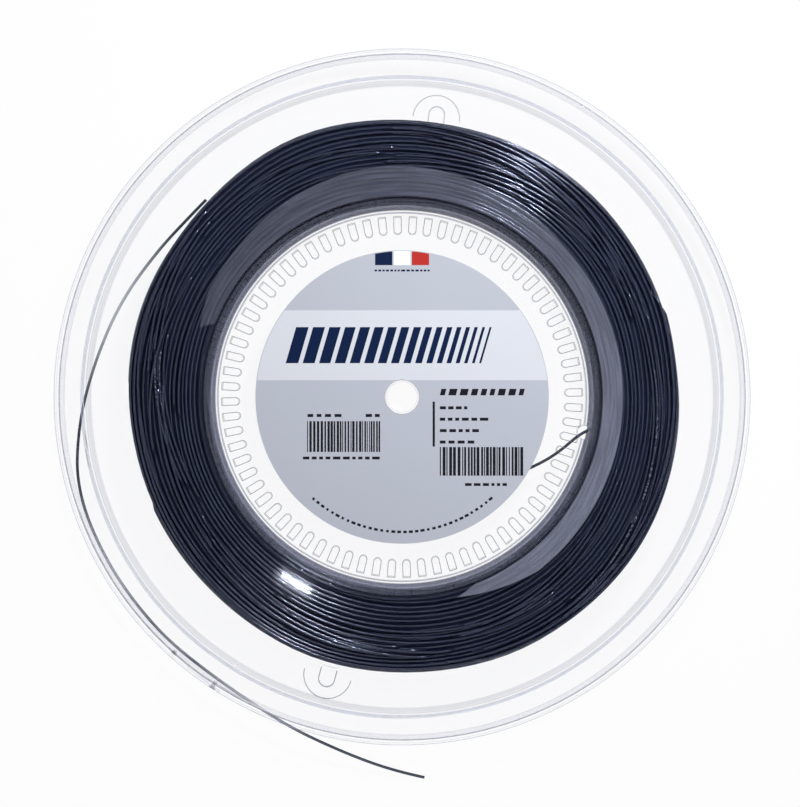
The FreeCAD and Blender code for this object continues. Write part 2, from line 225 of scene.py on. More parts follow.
def joined_tubes(name: str, batches: Sequence[Tubes]) -> bpy.types.Object:
    """Makes several batches of tubes as one piece, with their UV maps.

    Args:
        name: Name of the piece.
        batches: The batches, whose points follow each other in this order.

    Returns:
        The new piece.
    """
    parts = [batch.made(f"{name}_part_{number}") for number, batch in enumerate(batches)]
    joined = bmesh.new()
    for part in parts:
        joined.from_mesh(part.data)
    whole = parts[0].data.copy()
    whole.name = name
    joined.to_mesh(whole)
    joined.free()
    for part in parts:
        bpy.data.objects.remove(part)
    return linked(name, whole)


def point_values(piece: bpy.types.Object, name: str, values: np.ndarray) -> None:
    """Writes one number per point into a named attribute of a piece."""
    layer = piece.data.attributes.new(name, "FLOAT", "POINT")
    layer.data.foreach_set("value", np.ascontiguousarray(values, np.float32).ravel())


def merged_copy(name: str, node: str) -> bpy.types.Object:
    """Copies a CAD node's mesh, joins its loose triangles and keeps its real edges sharp.

    Args:
        name: Name of the new piece.
        node: The CAD node whose mesh is copied.

    Returns:
        The new object, with smooth faces whose normals lean to the larger faces.
    """
    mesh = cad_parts[node].data.copy()
    mesh.name = name
    joined = bmesh.new()
    joined.from_mesh(mesh)
    bmesh.ops.remove_doubles(joined, verts=joined.verts, dist=2e-6)
    joined.to_mesh(mesh)
    joined.free()
    if "custom_normal" in mesh.attributes:
        mesh.attributes.remove(mesh.attributes["custom_normal"])
    mesh.shade_smooth()
    mesh.set_sharp_from_angle(angle=math.radians(32))
    mesh.materials.clear()
    made = linked(name, mesh)
    weights = made.modifiers.new("face_weights", "WEIGHTED_NORMAL")
    weights.keep_sharp = True
    return made


def mark_edges(piece: bpy.types.Object, material: bpy.types.Material,
               chosen: Callable[[np.ndarray], np.ndarray]) -> None:
    """Gives a piece's steep faces at chosen places one more material.

    Args:
        piece: The piece, which has its first material.
        material: The added material.
        chosen: Says for each face's middle whether its place is one of those.
    """
    mesh = piece.data
    middles = np.empty(len(mesh.polygons) * 3, np.float32)
    normals = np.empty(len(mesh.polygons) * 3, np.float32)
    mesh.polygons.foreach_get("center", middles)
    mesh.polygons.foreach_get("normal", normals)
    steep = np.abs(normals.reshape(-1, 3)[:, 2]) < 0.8
    numbers = np.empty(len(mesh.polygons), np.int32)
    mesh.polygons.foreach_get("material_index", numbers)
    mesh.materials.append(material)
    numbers[steep & chosen(middles.reshape(-1, 3).astype(float))] = len(mesh.materials) - 1
    mesh.polygons.foreach_set("material_index", numbers)


def finished(piece: bpy.types.Object, material: bpy.types.Material, body: str) -> bpy.types.Object:
    """Gives a piece its material and its body, and reports it.

    Args:
        piece: The piece.
        material: Its finish.
        body: The CAD body that it moves with.

    Returns:
        The same piece.
    """
    piece.data.materials.clear()
    piece.data.materials.append(material)
    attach(piece, body)
    log.info("made %s on %s", piece.name, body)
    return piece


def dressed(name: str, node: str, material: bpy.types.Material, body: str) -> bpy.types.Object:
    """Makes the piece that replaces a CAD node, as a finished copy of its mesh.

    Args:
        name: Name of the new piece.
        node: The CAD node.
        material: The piece's finish.
        body: The CAD body that it moves with.

    Returns:
        The new piece.
    """
    piece = finished(merged_copy(name, node), material, body)
    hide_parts(node)
    return piece


def bead(face: Face, name: str, line: np.ndarray, radius: float, material: bpy.types.Material,
         closed: bool = False) -> bpy.types.Object:
    """Makes a thin dark bead along a line of the front face, on a face of the spool, which paints in a
    shaded outline.

    Args:
        face: Which half it is on.
        name: Name of the bead, without the face's.
        line: Points of the front face, one a row, in metres.
        radius: Radius of the bead.
        material: Its clear plastic.
        closed: Whether the line comes back to its start.

    Returns:
        The new piece.
    """
    tube = Tubes(face.placed(line)[None], radius, 6, closed)
    return finished(tube.made(f"{face.value}_{name}"), material, "spool")


# Finishes


class Bench:
    """The node tree of a material or the world, with short ways to add nodes and join them."""

    def __init__(self, name: str, world: bool = False) -> None:
        """Starts an empty material or world of that name, with its output node."""
        kind, place = ("World", "Generated") if world else ("Material", "Object")
        self.owner = (bpy.data.worlds if world else bpy.data.materials).new(name)
        self.owner.use_nodes = True
        self.tree = self.owner.node_tree
        self.tree.nodes.clear()
        self.output = self.tree.nodes.new("ShaderNodeOutput" + kind)
        self.place = self.tree.nodes.new("ShaderNodeTexCoord").outputs[place]

    def put(self, socket: bpy.types.NodeSocket, value: object) -> None:
        """Joins an output to a socket, or sets the socket's own value."""
        if isinstance(value, bpy.types.NodeSocket):
            self.tree.links.new(value, socket)
        elif isinstance(value, tuple) and len(value) == 3 and socket.type == "RGBA":
            socket.default_value = (*value, 1.0)
        else:
            socket.default_value = value

    def node(self, kind: str, inputs: dict[str | int, object], **settings: object) -> bpy.types.Node:
        """Adds a node.

        Args:
            kind: The node's type, without its ShaderNode prefix.
            inputs: What goes into its sockets, by name or number.
            settings: Properties of the node itself.

        Returns:
            The new node.
        """
        made = self.tree.nodes.new("ShaderNode" + kind)
        for key, value in settings.items():
            setattr(made, key, value)
        for key, value in inputs.items():
            self.put(made.inputs[key], value)
        return made

    def sum(self, operation: str, *values: object) -> bpy.types.NodeSocket:
        """Result of a Math node on values or sockets."""
        return self.node("Math", dict(enumerate(values)), operation=operation).outputs[0]

    def vector(self, operation: str, *values: object) -> bpy.types.NodeSocket:
        """Result of a Vector Math node on values or sockets."""
        return self.node("VectorMath", dict(enumerate(values)), operation=operation).outputs[0]

    def level(self) -> bpy.types.NodeSocket:
        """The shaded point's place with its height left out."""
        return self.vector("MULTIPLY", self.place, (1.0, 1.0, 0.0))

    def radius(self) -> bpy.types.NodeSocket:
        """Distance of the shaded point from the reel's axis."""
        return self.node("VectorMath", {0: self.level()}, operation="LENGTH").outputs["Value"]

    def noise(self, scale: float, detail: float = 3.0, at: object = None) -> bpy.types.NodeSocket:
        """Noise from 0 to 1 at a scale in waves per metre."""
        inputs = {"Vector": self.place if at is None else at, "Scale": scale, "Detail": detail}
        return self.node("TexNoise", inputs).outputs["Fac"]

    def between(self, share: object, low: object, high: object,
                least: float = 0.0) -> bpy.types.NodeSocket:
        """Plain number that goes from low to high as a share goes from its least to 1."""
        inputs = {"Value": share, "From Min": least, "To Min": low, "To Max": high}
        return self.node("MapRange", inputs).outputs["Result"]

    def step(self, value: object, start: float, stop: float, low: float = 0.0,
             high: float = 1.0) -> bpy.types.NodeSocket:
        """Number that goes smoothly from low where a value is start to high where it is stop."""
        inputs = {"Value": value, "From Min": start, "From Max": stop, "To Min": low, "To Max": high}
        return self.node("MapRange", inputs, interpolation_type="SMOOTHSTEP").outputs["Result"]

    def blend(self, share: object, low: object, high: object) -> bpy.types.NodeSocket:
        """Colour that goes from low to high as a share goes from 0 to 1."""
        mix = self.node("Mix", {0: share}, data_type="RGBA")
        self.put(mix.inputs[6], low)
        self.put(mix.inputs[7], high)
        return mix.outputs[2]

    def ridge(self, value: object, middle: float, width: float) -> bpy.types.NodeSocket:
        """Share that is 1 where a value equals middle and falls to 0 at a width from it."""
        away = self.sum("ABSOLUTE", self.sum("SUBTRACT", value, middle))
        return self.step(away, 0.0, width, 1.0, 0.0)

    def most(self, shares: Sequence[object]) -> object:
        """The largest of several shares."""
        most = shares[0]
        for share in shares[1:]:
            most = self.sum("MAXIMUM", most, share)
        return most

    def bumps(self, height: object, depth: float, strength: float,
              under: bpy.types.NodeSocket | None = None) -> bpy.types.NodeSocket:
        """Normal that follows a height from 0 to 1, with a depth in metres, on top of another's."""
        inputs = {"Height": height, "Distance": depth, "Strength": strength}
        if under is not None:
            inputs["Normal"] = under
        return self.node("Bump", inputs).outputs["Normal"]

    def show(self, shader: bpy.types.NodeSocket) -> bpy.types.Material | bpy.types.World:
        """Joins the last shader to the output and returns the material or the world."""
        self.tree.links.new(shader, self.output.inputs["Surface"])
        return self.owner


@dataclass(frozen=True)
class Line:
    """A thin dark line of painted shade where clear plastic bends or ends, standing in for the light that
    the bend or the cut edge turns away.

    Attributes:
        place: Radius of the line, or its height above the mid-plane, in metres.
        width: Half width of the line.
        share: How much of the sent colour shows in it.
    """

    place: float
    width: float
    share: float


@dataclass(frozen=True)
class PaintedReflectionZone:
    """The crescent beside the hub with a painted reflection on a flange: a light haze that stands in for a
    soft lamp mirrored in the flange.

    The zone lies between the cup's mouth and an edge whose radius is plateau + rise s, with s a
    smooth hump about crest. Two slanted cuts end it, and its share goes round as a squared cosine.
    The cup's cone carries painted reflection too, in streaks that run round it and fade towards the mouth.
    The zone and a ring at the mouth also darken what the plastic lets through, as painted shade.

    Attributes:
        turned_over: Whether it lies on the half that is turned over.
        colour: Colour of the painted reflection.
        plateau: Radius of its edge away from the crest.
        rise: How much further the edge lies at the crest.
        crest: Angle of the crest, in degrees.
        crest_width: Angle from the crest to where the hump ends.
        least: Least share of the painted reflection's colour.
        most: Most share of it.
        brightest: Angle at which the share is most.
        narrowing: Power of the cosine that the share goes round with.
        right_cut: Slope in metres a degree, radius and angle of the slanted cut on the right.
        left_cut: The same on the left.
        right_end: Degrees a metre, start and stop of the edge that ends the zone on the right.
        left_end: The same on the left.
        streak_turns: Scale of the streaks along their way round.
        cone_streaks: Share that the streaks on the cone add, and the share between them.
        painted_shade_colour: Colour that the plastic lets through where its painted shade is deepest.
        shade_by_haze: How much painted shade the plastic takes for each part of the painted reflection's
            share.
        shade_at_mouth: How much painted shade it takes in a ring at the cup's mouth, where the rounded
            corner turns the light away.
    """

    turned_over: bool = False
    colour: tuple[float, float, float] = (0.56, 0.60, 0.80)
    plateau: float = 0.0942
    rise: float = 0.0044
    crest: float = 95.0
    crest_width: float = 58.0
    least: float = 0.062
    most: float = 0.232
    brightest: float = -48.0
    narrowing: float = 2.4
    right_cut: tuple[float, float, float] = (0.000246, 0.0885, -75.2)
    left_cut: tuple[float, float, float] = (-0.000284, 0.0912, 161.4)
    right_end: tuple[float, float, float] = (1875.0, -69.0, -68.2)
    left_end: tuple[float, float, float] = (-456.0, 158.8, 158.0)
    streak_turns: float = 5.0
    cone_streaks: tuple[float, float] = (0.10, 0.01)
    painted_shade_colour: tuple[float, float, float] = (0.34, 0.35, 0.40)
    shade_by_haze: float = 2.6
    shade_at_mouth: float = 0.55

    def share(self, bench: Bench) -> bpy.types.NodeSocket:
        """Share of the painted reflection's colour at a point."""
        place = bench.place
        if self.turned_over:
            turn = (0.0, 0.0, math.radians(2 * FLIP_ANGLE))
            place = bench.node("Mapping", {0: place, 2: turn, 3: (1.0, -1.0, 1.0)}).outputs[0]
        flat = bench.node("SeparateXYZ", {0: place})
        angle = bench.sum("DEGREES", bench.sum("ARCTAN2", flat.outputs["Y"], flat.outputs["X"]))
        radius = bench.radius()
        hump = bench.ridge(angle, self.crest, self.crest_width)
        edge = bench.sum("MULTIPLY_ADD", hump, self.rise, self.plateau)
        for slope, radius_there, there in (self.right_cut, self.left_cut):
            cut = bench.sum("MULTIPLY_ADD", angle, slope, radius_there - slope * there)
            edge = bench.sum("MINIMUM", edge, cut)
        inside = bench.step(bench.sum("SUBTRACT", edge, radius), 0.0, 0.0006)
        beyond_mouth = bench.step(radius, CUP_MOUTH_RADIUS + 0.0004, CUP_MOUTH_RADIUS + 0.0010)
        foot = bench.sum("SUBTRACT", radius, CUP_MOUTH_RADIUS + 0.0006)
        ends = [bench.step(bench.sum("MULTIPLY_ADD", foot, slant, angle), start, stop)
                for slant, start, stop in (self.right_end, self.left_end)]
        swing = bench.sum("COSINE", bench.sum("RADIANS", bench.sum("SUBTRACT", angle, self.brightest)))
        swing = bench.sum("POWER", bench.between(swing, 0.0, 1.0, -1.0), self.narrowing)
        strength = bench.between(swing, self.least, self.most)
        streaks = bench.between(self.streaks(bench, radius, 1000.0), 0.74, 1.2)
        for part in (inside, beyond_mouth, *ends, streaks):
            strength = bench.sum("MULTIPLY", strength, part)
        return bench.sum("ADD", strength, self.cone_reflection_share(bench, radius))

    def streaks(self, bench: Bench, radius: bpy.types.NodeSocket, scale: float) -> bpy.types.NodeSocket:
        """Noise in streaks that run round the hub, from 0 to 1.

        Args:
            bench: The material's nodes.
            radius: Distance from the axis.
            scale: Streaks in each metre of radius, about.

        Returns:
            The noise.
        """
        way = bench.vector("NORMALIZE", bench.level())
        out = bench.node("CombineXYZ", {"Z": bench.sum("MULTIPLY", radius, scale)}).outputs[0]
        at = bench.vector("MULTIPLY_ADD", way, (self.streak_turns, self.streak_turns, 0.0), out)
        return bench.step(bench.noise(1.0, 2.0, at), 0.36, 0.68)

    def cone_reflection_share(self, bench: Bench, radius: bpy.types.NodeSocket) -> bpy.types.NodeSocket:
        """Share of painted reflection on the cup's cone, in streaks that run round it."""
        share = bench.sum("MULTIPLY_ADD", self.streaks(bench, radius, 1300.0), *self.cone_streaks)
        inside = bench.step(radius, CUP_FLOOR_RADIUS + 0.0004, CUP_FLOOR_RADIUS + 0.0010)
        before = bench.step(radius, CUP_MOUTH_RADIUS - 0.0008, CUP_MOUTH_RADIUS - 0.0016)
        return bench.sum("MULTIPLY", share, bench.sum("MULTIPLY", inside, before))


@dataclass(frozen=True)
class ClearPlastic:
    """Clear moulded plastic or film: glossy, with grey where it is steep, and lines of painted shade where
    it is bent or cut.

    Attributes:
        name: Name of the material.
        passed: Colour that the plastic lets through at each surface.
        sent: Colour that it sends back where it is steep.
        flat_share: How much shows of the sent colour head on.
        steep_share: How much more shows where the surface is steep.
        steep_power: How quickly that grows with the slope.
        bends: Lines of painted shade at radii where the moulding bends.
        levels: Lines of painted shade at heights where the film is cut.
        painted_reflection: The zone of painted reflection and painted shade beside the hub, if it has one.
        roughness: Roughness of the polished surface.
        head_on: Share that the surface mirrors head on.
        mirror: Colour that tints what it mirrors.
    """

    name: str
    passed: tuple[float, float, float] = (0.997, 0.997, 1.0)
    sent: tuple[float, float, float] = (0.13, 0.135, 0.22)
    flat_share: float = 0.002
    steep_share: float = 0.62
    steep_power: float = 4.0
    bends: tuple[Line, ...] = ()
    levels: tuple[Line, ...] = ()
    painted_reflection: PaintedReflectionZone | None = None
    roughness: float = 0.034
    head_on: float = 0.005
    mirror: tuple[float, float, float] = (0.76, 0.82, 1.0)

    def lines(self, bench: Bench) -> list[bpy.types.NodeSocket]:
        """Shares of the thin dark lines of painted shade."""
        marks: list[bpy.types.NodeSocket] = []
        radius = bench.radius() if self.bends else None
        height = bench.node("SeparateXYZ", {0: bench.place}).outputs["Z"] if self.levels else None
        for line in self.bends:
            marks.append(bench.sum("MULTIPLY", bench.ridge(radius, line.place, line.width), line.share))
        for line in self.levels:
            ridge = bench.ridge(height, MID_PLANE + line.place, line.width)
            marks.append(bench.sum("MULTIPLY", ridge, line.share))
        return marks

    def material(self) -> bpy.types.Material:
        """Builds the node material."""
        bench = Bench(self.name)
        flow = bench.noise(38.0, 1.0)
        scuffs = bench.noise(900.0, 1.0)
        facing = bench.node("LayerWeight", {"Blend": 0.5}).outputs["Facing"]
        steep = bench.sum("MULTIPLY", bench.sum("POWER", facing, self.steep_power), self.steep_share)
        share = bench.sum("ADD", steep, bench.between(flow, self.flat_share * 0.5, self.flat_share * 1.5))
        marks = self.lines(bench)
        if marks:
            share = bench.sum("ADD", share, bench.most(marks))
        colour = bench.blend(flow, self.sent, tuple(c * 1.12 for c in self.sent))
        passed: object = self.passed
        if self.painted_reflection is not None:
            # Painted reflection: a light haze laid over the plastic beside the hub, and on the cup's cone.
            painted_haze = self.painted_reflection.share(bench)
            share = bench.sum("ADD", share, painted_haze)
            colour = bench.blend(bench.sum("DIVIDE", painted_haze, share), colour, self.painted_reflection.colour)
            zone = self.painted_reflection
            # Painted shade: the plastic lets less light through within the haze and in a ring at the cup's
            # mouth.
            mouth = bench.ridge(bench.radius(), CUP_MOUTH_RADIUS + 0.0002, 0.0011)
            painted_shade = bench.sum("MULTIPLY", painted_haze, zone.shade_by_haze)
            painted_shade = bench.sum("MULTIPLY_ADD", mouth, zone.shade_at_mouth, painted_shade)
            passed = bench.blend(bench.sum("MINIMUM", painted_shade, 1.0), self.passed, zone.painted_shade_colour)
        share = bench.sum("MINIMUM", share, 0.94)
        normal = bench.bumps(scuffs, 0.00002, 0.012)
        shell = bench.node("BsdfPrincipled", {
            "Base Color": colour,
            "Roughness": 0.4,
            "IOR": 1.5,
            "Normal": normal,
        }).outputs[0]
        through = bench.node("BsdfTransparent", {"Color": passed}).outputs[0]
        body = bench.node("MixShader", {0: share, 1: through, 2: shell}).outputs[0]
        mirror = bench.node("BsdfAnisotropic", {
            "Color": self.mirror,
            "Roughness": bench.between(scuffs, self.roughness * 0.6, self.roughness * 1.5),
            "Normal": normal,
        }).outputs[0]
        gloss = bench.sum("MULTIPLY_ADD", bench.sum("POWER", facing, 5.0), 1 - self.head_on, self.head_on)
        return bench.show(bench.node("MixShader", {0: gloss, 1: body, 2: mirror}).outputs[0])


@dataclass(frozen=True)
class StringSkin:
    """Smooth dark string with a slight twist in its skin, and painted highlights: light glinting specks
    where strands touch a flange, or light stretches of painted sheen.

    Attributes:
        name: Name of the material.
        deep: Colour of the darkest lengths.
        light: Colour of the lightest lengths.
        gloss: Strength of its shine.
        painted_sheen_zones: Angle, half width in degrees and share of each stretch with painted sheen.
        twisted: Whether the piece has the tubes' own UV map to carry the twist.
        toned: Whether the piece has a tone for each strand.
        touch_lift: Heights from the mid-plane between which strands begin to touch a flange.
        touch_tone: Tones between which strands begin to show painted glints.
        touch_radius: Radii between which the painted glints begin.
        painted_glint_level: Levels of the noise between which a painted glint begins.
        painted_glint_share: Share of the painted highlight's colour in a glint.
        pale: Colour of the painted highlight, for the glints and for the stretches of painted sheen.
        bump_strength: Strength of the grain's and the twist's bumps.
        twists: Starts of the twist round the string.
    """

    name: str
    deep: tuple[float, float, float] = (0.0046, 0.0062, 0.0190)
    light: tuple[float, float, float] = (0.0095, 0.0125, 0.0340)
    gloss: float = 0.9
    painted_sheen_zones: tuple[tuple[float, float, float], ...] = ()
    twisted: bool = True
    toned: bool = True
    touch_lift: tuple[float, float] = (0.00964, 0.00974)
    touch_tone: tuple[float, float] = (0.86, 0.88)
    touch_radius: tuple[float, float] = (0.099, 0.101)
    painted_glint_level: tuple[float, float] = (0.54, 0.60)
    painted_glint_share: float = 0.26
    pale: tuple[float, float, float] = (0.50, 0.51, 0.56)
    bump_strength: float = 0.03
    twists: float = 5.0

    def painted_highlight_share(self, bench: Bench) -> bpy.types.NodeSocket | None:
        """Share of the painted highlight: glinting specks where a strand touches a flange, or the
        stretches of painted sheen.
        """
        parts = bench.node("SeparateXYZ", {0: bench.place}).outputs
        # Painted glints: light specks on strands that lie against a flange, standing in for small
        # reflections there.
        if self.toned:
            lift = bench.sum("ABSOLUTE", bench.sum("SUBTRACT", parts["Z"], MID_PLANE))
            tone = bench.node("Attribute", {}, attribute_name="tone").outputs["Fac"]
            share: object = self.painted_glint_share
            for value, (start, stop) in ((lift, self.touch_lift), (tone, self.touch_tone),
                                         (bench.radius(), self.touch_radius),
                                         (bench.noise(1000.0, 1.0), self.painted_glint_level)):
                share = bench.sum("MULTIPLY", share, bench.step(value, start, stop))
            return share
        # Painted sheen: stretches of a plain string made lighter by their angle round the reel.
        if not self.painted_sheen_zones:
            return None
        angle = bench.sum("DEGREES", bench.sum("ARCTAN2", parts["Y"], parts["X"]))
        turned = bench.sum("FLOORED_MODULO", angle, 360.0)
        zones = [bench.sum("MULTIPLY", bench.ridge(turned, middle, width), share)
                 for middle, width, share in self.painted_sheen_zones]
        return bench.most(zones)

    def material(self) -> bpy.types.Material:
        """Builds the node material."""
        bench = Bench(self.name)
        drift = bench.noise(55.0, 3.0)
        grain = bench.noise(2600.0, 2.0)
        tone = bench.node("Attribute", {}, attribute_name="tone").outputs["Fac"] if self.toned else drift
        shade = bench.sum("MULTIPLY_ADD", drift, 0.5, bench.sum("MULTIPLY", tone, 0.5))
        normal = bench.bumps(grain, 0.00001, self.bump_strength)
        if self.twisted:
            wrap = bench.node("UVMap", {}, uv_map="along_and_round").outputs[0]
            flat = bench.node("SeparateXYZ", {0: wrap})
            around = bench.sum("MULTIPLY", flat.outputs["Y"], self.twists)
            phase = bench.sum("MULTIPLY", bench.sum("ADD", around, flat.outputs["X"]), 2 * math.pi)
            twist = bench.sum("MULTIPLY_ADD", bench.sum("SINE", phase), 0.5, 0.5)
            normal = bench.bumps(twist, 0.00003, self.bump_strength, normal)
        colour = bench.blend(shade, self.deep, self.light)
        # Painted highlight: the glints or the sheen are blended into the string's own colour.
        pale = self.painted_highlight_share(bench)
        if pale is not None:
            colour = bench.blend(pale, colour, self.pale)
        skin = bench.node("BsdfPrincipled", {
            "Base Color": colour,
            "Roughness": bench.between(drift, 0.12, 0.19),
            "IOR": 1.6,
            "Specular IOR Level": self.gloss,
            "Specular Tint": (0.68, 0.77, 1.0, 1.0),
            "Normal": normal,
        }).outputs[0]
        return bench.show(skin)


@dataclass(frozen=True)
class PrintedPaper:
    """Smooth coated paper or a flat ink on it, with a faint fibre.

    Attributes:
        name: Name of the material.
        colour: Colour of the paper or the ink.
        spread: How far the colour varies.
        roughness: Roughness of the coat.
    """

    name: str
    colour: tuple[float, float, float]
    spread: float = 0.06
    roughness: float = 0.55

    def material(self) -> bpy.types.Material:
        """Builds the node material."""
        bench = Bench(self.name)
        cloud = bench.noise(26.0, 4.0)
        fibre = bench.noise(3200.0, 3.0)
        mixed = bench.sum("MULTIPLY_ADD", cloud, 0.6, bench.sum("MULTIPLY", fibre, 0.4))
        low = tuple(c * (1 - self.spread) for c in self.colour)
        high = tuple(min(1.0, c * (1 + self.spread)) for c in self.colour)
        paper = bench.node("BsdfPrincipled", {
            "Base Color": bench.blend(mixed, low, high),
            "Roughness": bench.between(cloud, self.roughness * 0.85, self.roughness * 1.1),
            "Specular IOR Level": 0.08,
            "Normal": bench.bumps(fibre, 0.00002, 0.25),
        }).outputs[0]
        return bench.show(paper)


# The clear spool


@dataclass(frozen=True)
class Plastics:
    """The clear plastic of one half, as it looks at each kind of place.

    Attributes:
        moulding: At the walls.
        edges: At small cut and moulded edges, where a stronger grey paints in their shaded outlines.
        beads: At the beads about the clip, which carry grey head on as well and paint in the shaded lines
            there.
        hinge: At the clip's hinge, which shows least.
    """

    moulding: bpy.types.Material
    edges: bpy.types.Material
    beads: bpy.types.Material
    hinge: bpy.types.Material


@dataclass
class ClearHalf:
    """One moulded half of the spool: hub cup, flange, step and rim.

    Attributes:
        face: Which half it is.
        plastics: The clear plastics.
        pad_count: Pads round the cup floor.
        pad_phase: Angle of the first pad, in degrees.
        pad_ring: Radius of the pads' middles.
        pad_length: Length of a pad, along the radius.
        pad_width: Width of a pad.
        pad_top: Height of the pads' tops.
        pad_draft: How far the tops are drawn in from the pads' feet.
        tie_hole_ring: Radius of the tie hole's place.
        tie_hole_radius: Radius of the tie hole.
        bead: Radius of the bead round openings, which paints in their shaded outline.
    """

    face: Face
    plastics: Plastics
    pad_count: int = 72
    pad_phase: float = 1.5
    pad_ring: float = 0.0738
    pad_length: float = 0.0078
    pad_width: float = 0.0036
    pad_top: float = CUP_FLOOR + 0.0007
    pad_draft: float = 0.00036
    tie_hole_ring: float = 0.0798
    tie_hole_radius: float = 0.0030
    bead: float = 0.00016

    def draw_in_pads(self, points: np.ndarray) -> np.ndarray:
        """Moves the tops of the pads in, so that their sides lean as a moulding's do.

        Each point at a pad's top is measured along and across its own pad from the pad's middle,
        and both are scaled so that the ends come in by the draft.

        Args:
            points: The half's points, one a row.

        Returns:
            The points with the pads drafted.
        """
        local = self.face.placed(points)
        radius = np.hypot(local[:, 0], local[:, 1])
        angle = np.degrees(np.arctan2(local[:, 1], local[:, 0]))
        pitch = 360 / self.pad_count
        off_pitch = (angle - self.pad_phase + pitch / 2) % pitch - pitch / 2
        along = radius * np.cos(np.radians(off_pitch)) - self.pad_ring
        across = radius * np.sin(np.radians(off_pitch))
        on_top = np.abs(local[:, 2] - self.pad_top) < 2e-5
        on_top &= np.abs(along) < self.pad_length * 0.6
        along = along * (1 - 2 * self.pad_draft / self.pad_length)
        across = across * (1 - 2 * self.pad_draft / self.pad_width)
        middle = np.radians(angle - off_pitch)
        out = self.pad_ring + along
        local[on_top, 0] = (out * np.cos(middle) - across * np.sin(middle))[on_top]
        local[on_top, 1] = (out * np.sin(middle) + across * np.cos(middle))[on_top]
        return self.face.placed(local)

    def shell(self) -> bpy.types.Object:
        """Makes the moulded half from the CAD node, with its pads drafted."""
        half = dressed(self.face.value + "_shell", self.face.value + "_half", self.plastics.moulding,
                       "spool")
        count = len(half.data.vertices)
        points = np.empty(count * 3, np.float32)
        half.data.vertices.foreach_get("co", points)
        drafted = self.draw_in_pads(points.reshape(-1, 3).astype(float))
        half.data.vertices.foreach_set("co", drafted.astype(np.float32).ravel())
        half.data.update()
        mark_edges(half, self.plastics.edges, self.small_edges)
        mark_edges(half, self.plastics.hinge, lambda middles: Clip.at_hinge(self.face.placed(middles)))
        return half

    def small_edges(self, middles: np.ndarray) -> np.ndarray:
        """Which places lie on the pads, the bore, the tie hole or about the clip."""
        local = self.face.placed(middles)
        radius = np.hypot(local[:, 0], local[:, 1])
        on_pads = np.abs(radius - self.pad_ring) < self.pad_length * 0.55
        on_hole = np.hypot(*(local[:, :2] - self.tie_hole_place()).T) < self.tie_hole_radius * 1.1
        return on_pads | on_hole | (radius < BORE_RADIUS * 1.05) | Clip.about(local)

    def tie_hole_place(self) -> np.ndarray:
        """Where the tie hole's middle is, seen from above its own face."""
        return polar_points(self.tie_hole_ring, math.radians(FLIP_ANGLE + 180), 0.0)[:2]

    def tie_hole_bead(self) -> bpy.types.Object:
        """Makes the bead round the hole in which the string's first end is tucked, which paints in the
        hole's shaded outline.
        """
        turn = np.linspace(0, 2 * math.pi, 40, endpoint=False)
        middle = polar_points(self.tie_hole_ring, math.radians(FLIP_ANGLE + 180), CUP_FLOOR + 0.0001)
        reach = self.tie_hole_radius + self.bead * 0.4
        line = middle + polar_points(reach, turn, np.zeros_like(turn))
        line[:, 2] = np.minimum(line[:, 2], CUP_FLOOR + 0.0001)
        return bead(self.face, "tie_hole_bead", line, self.bead, self.plastics.edges, closed=True)


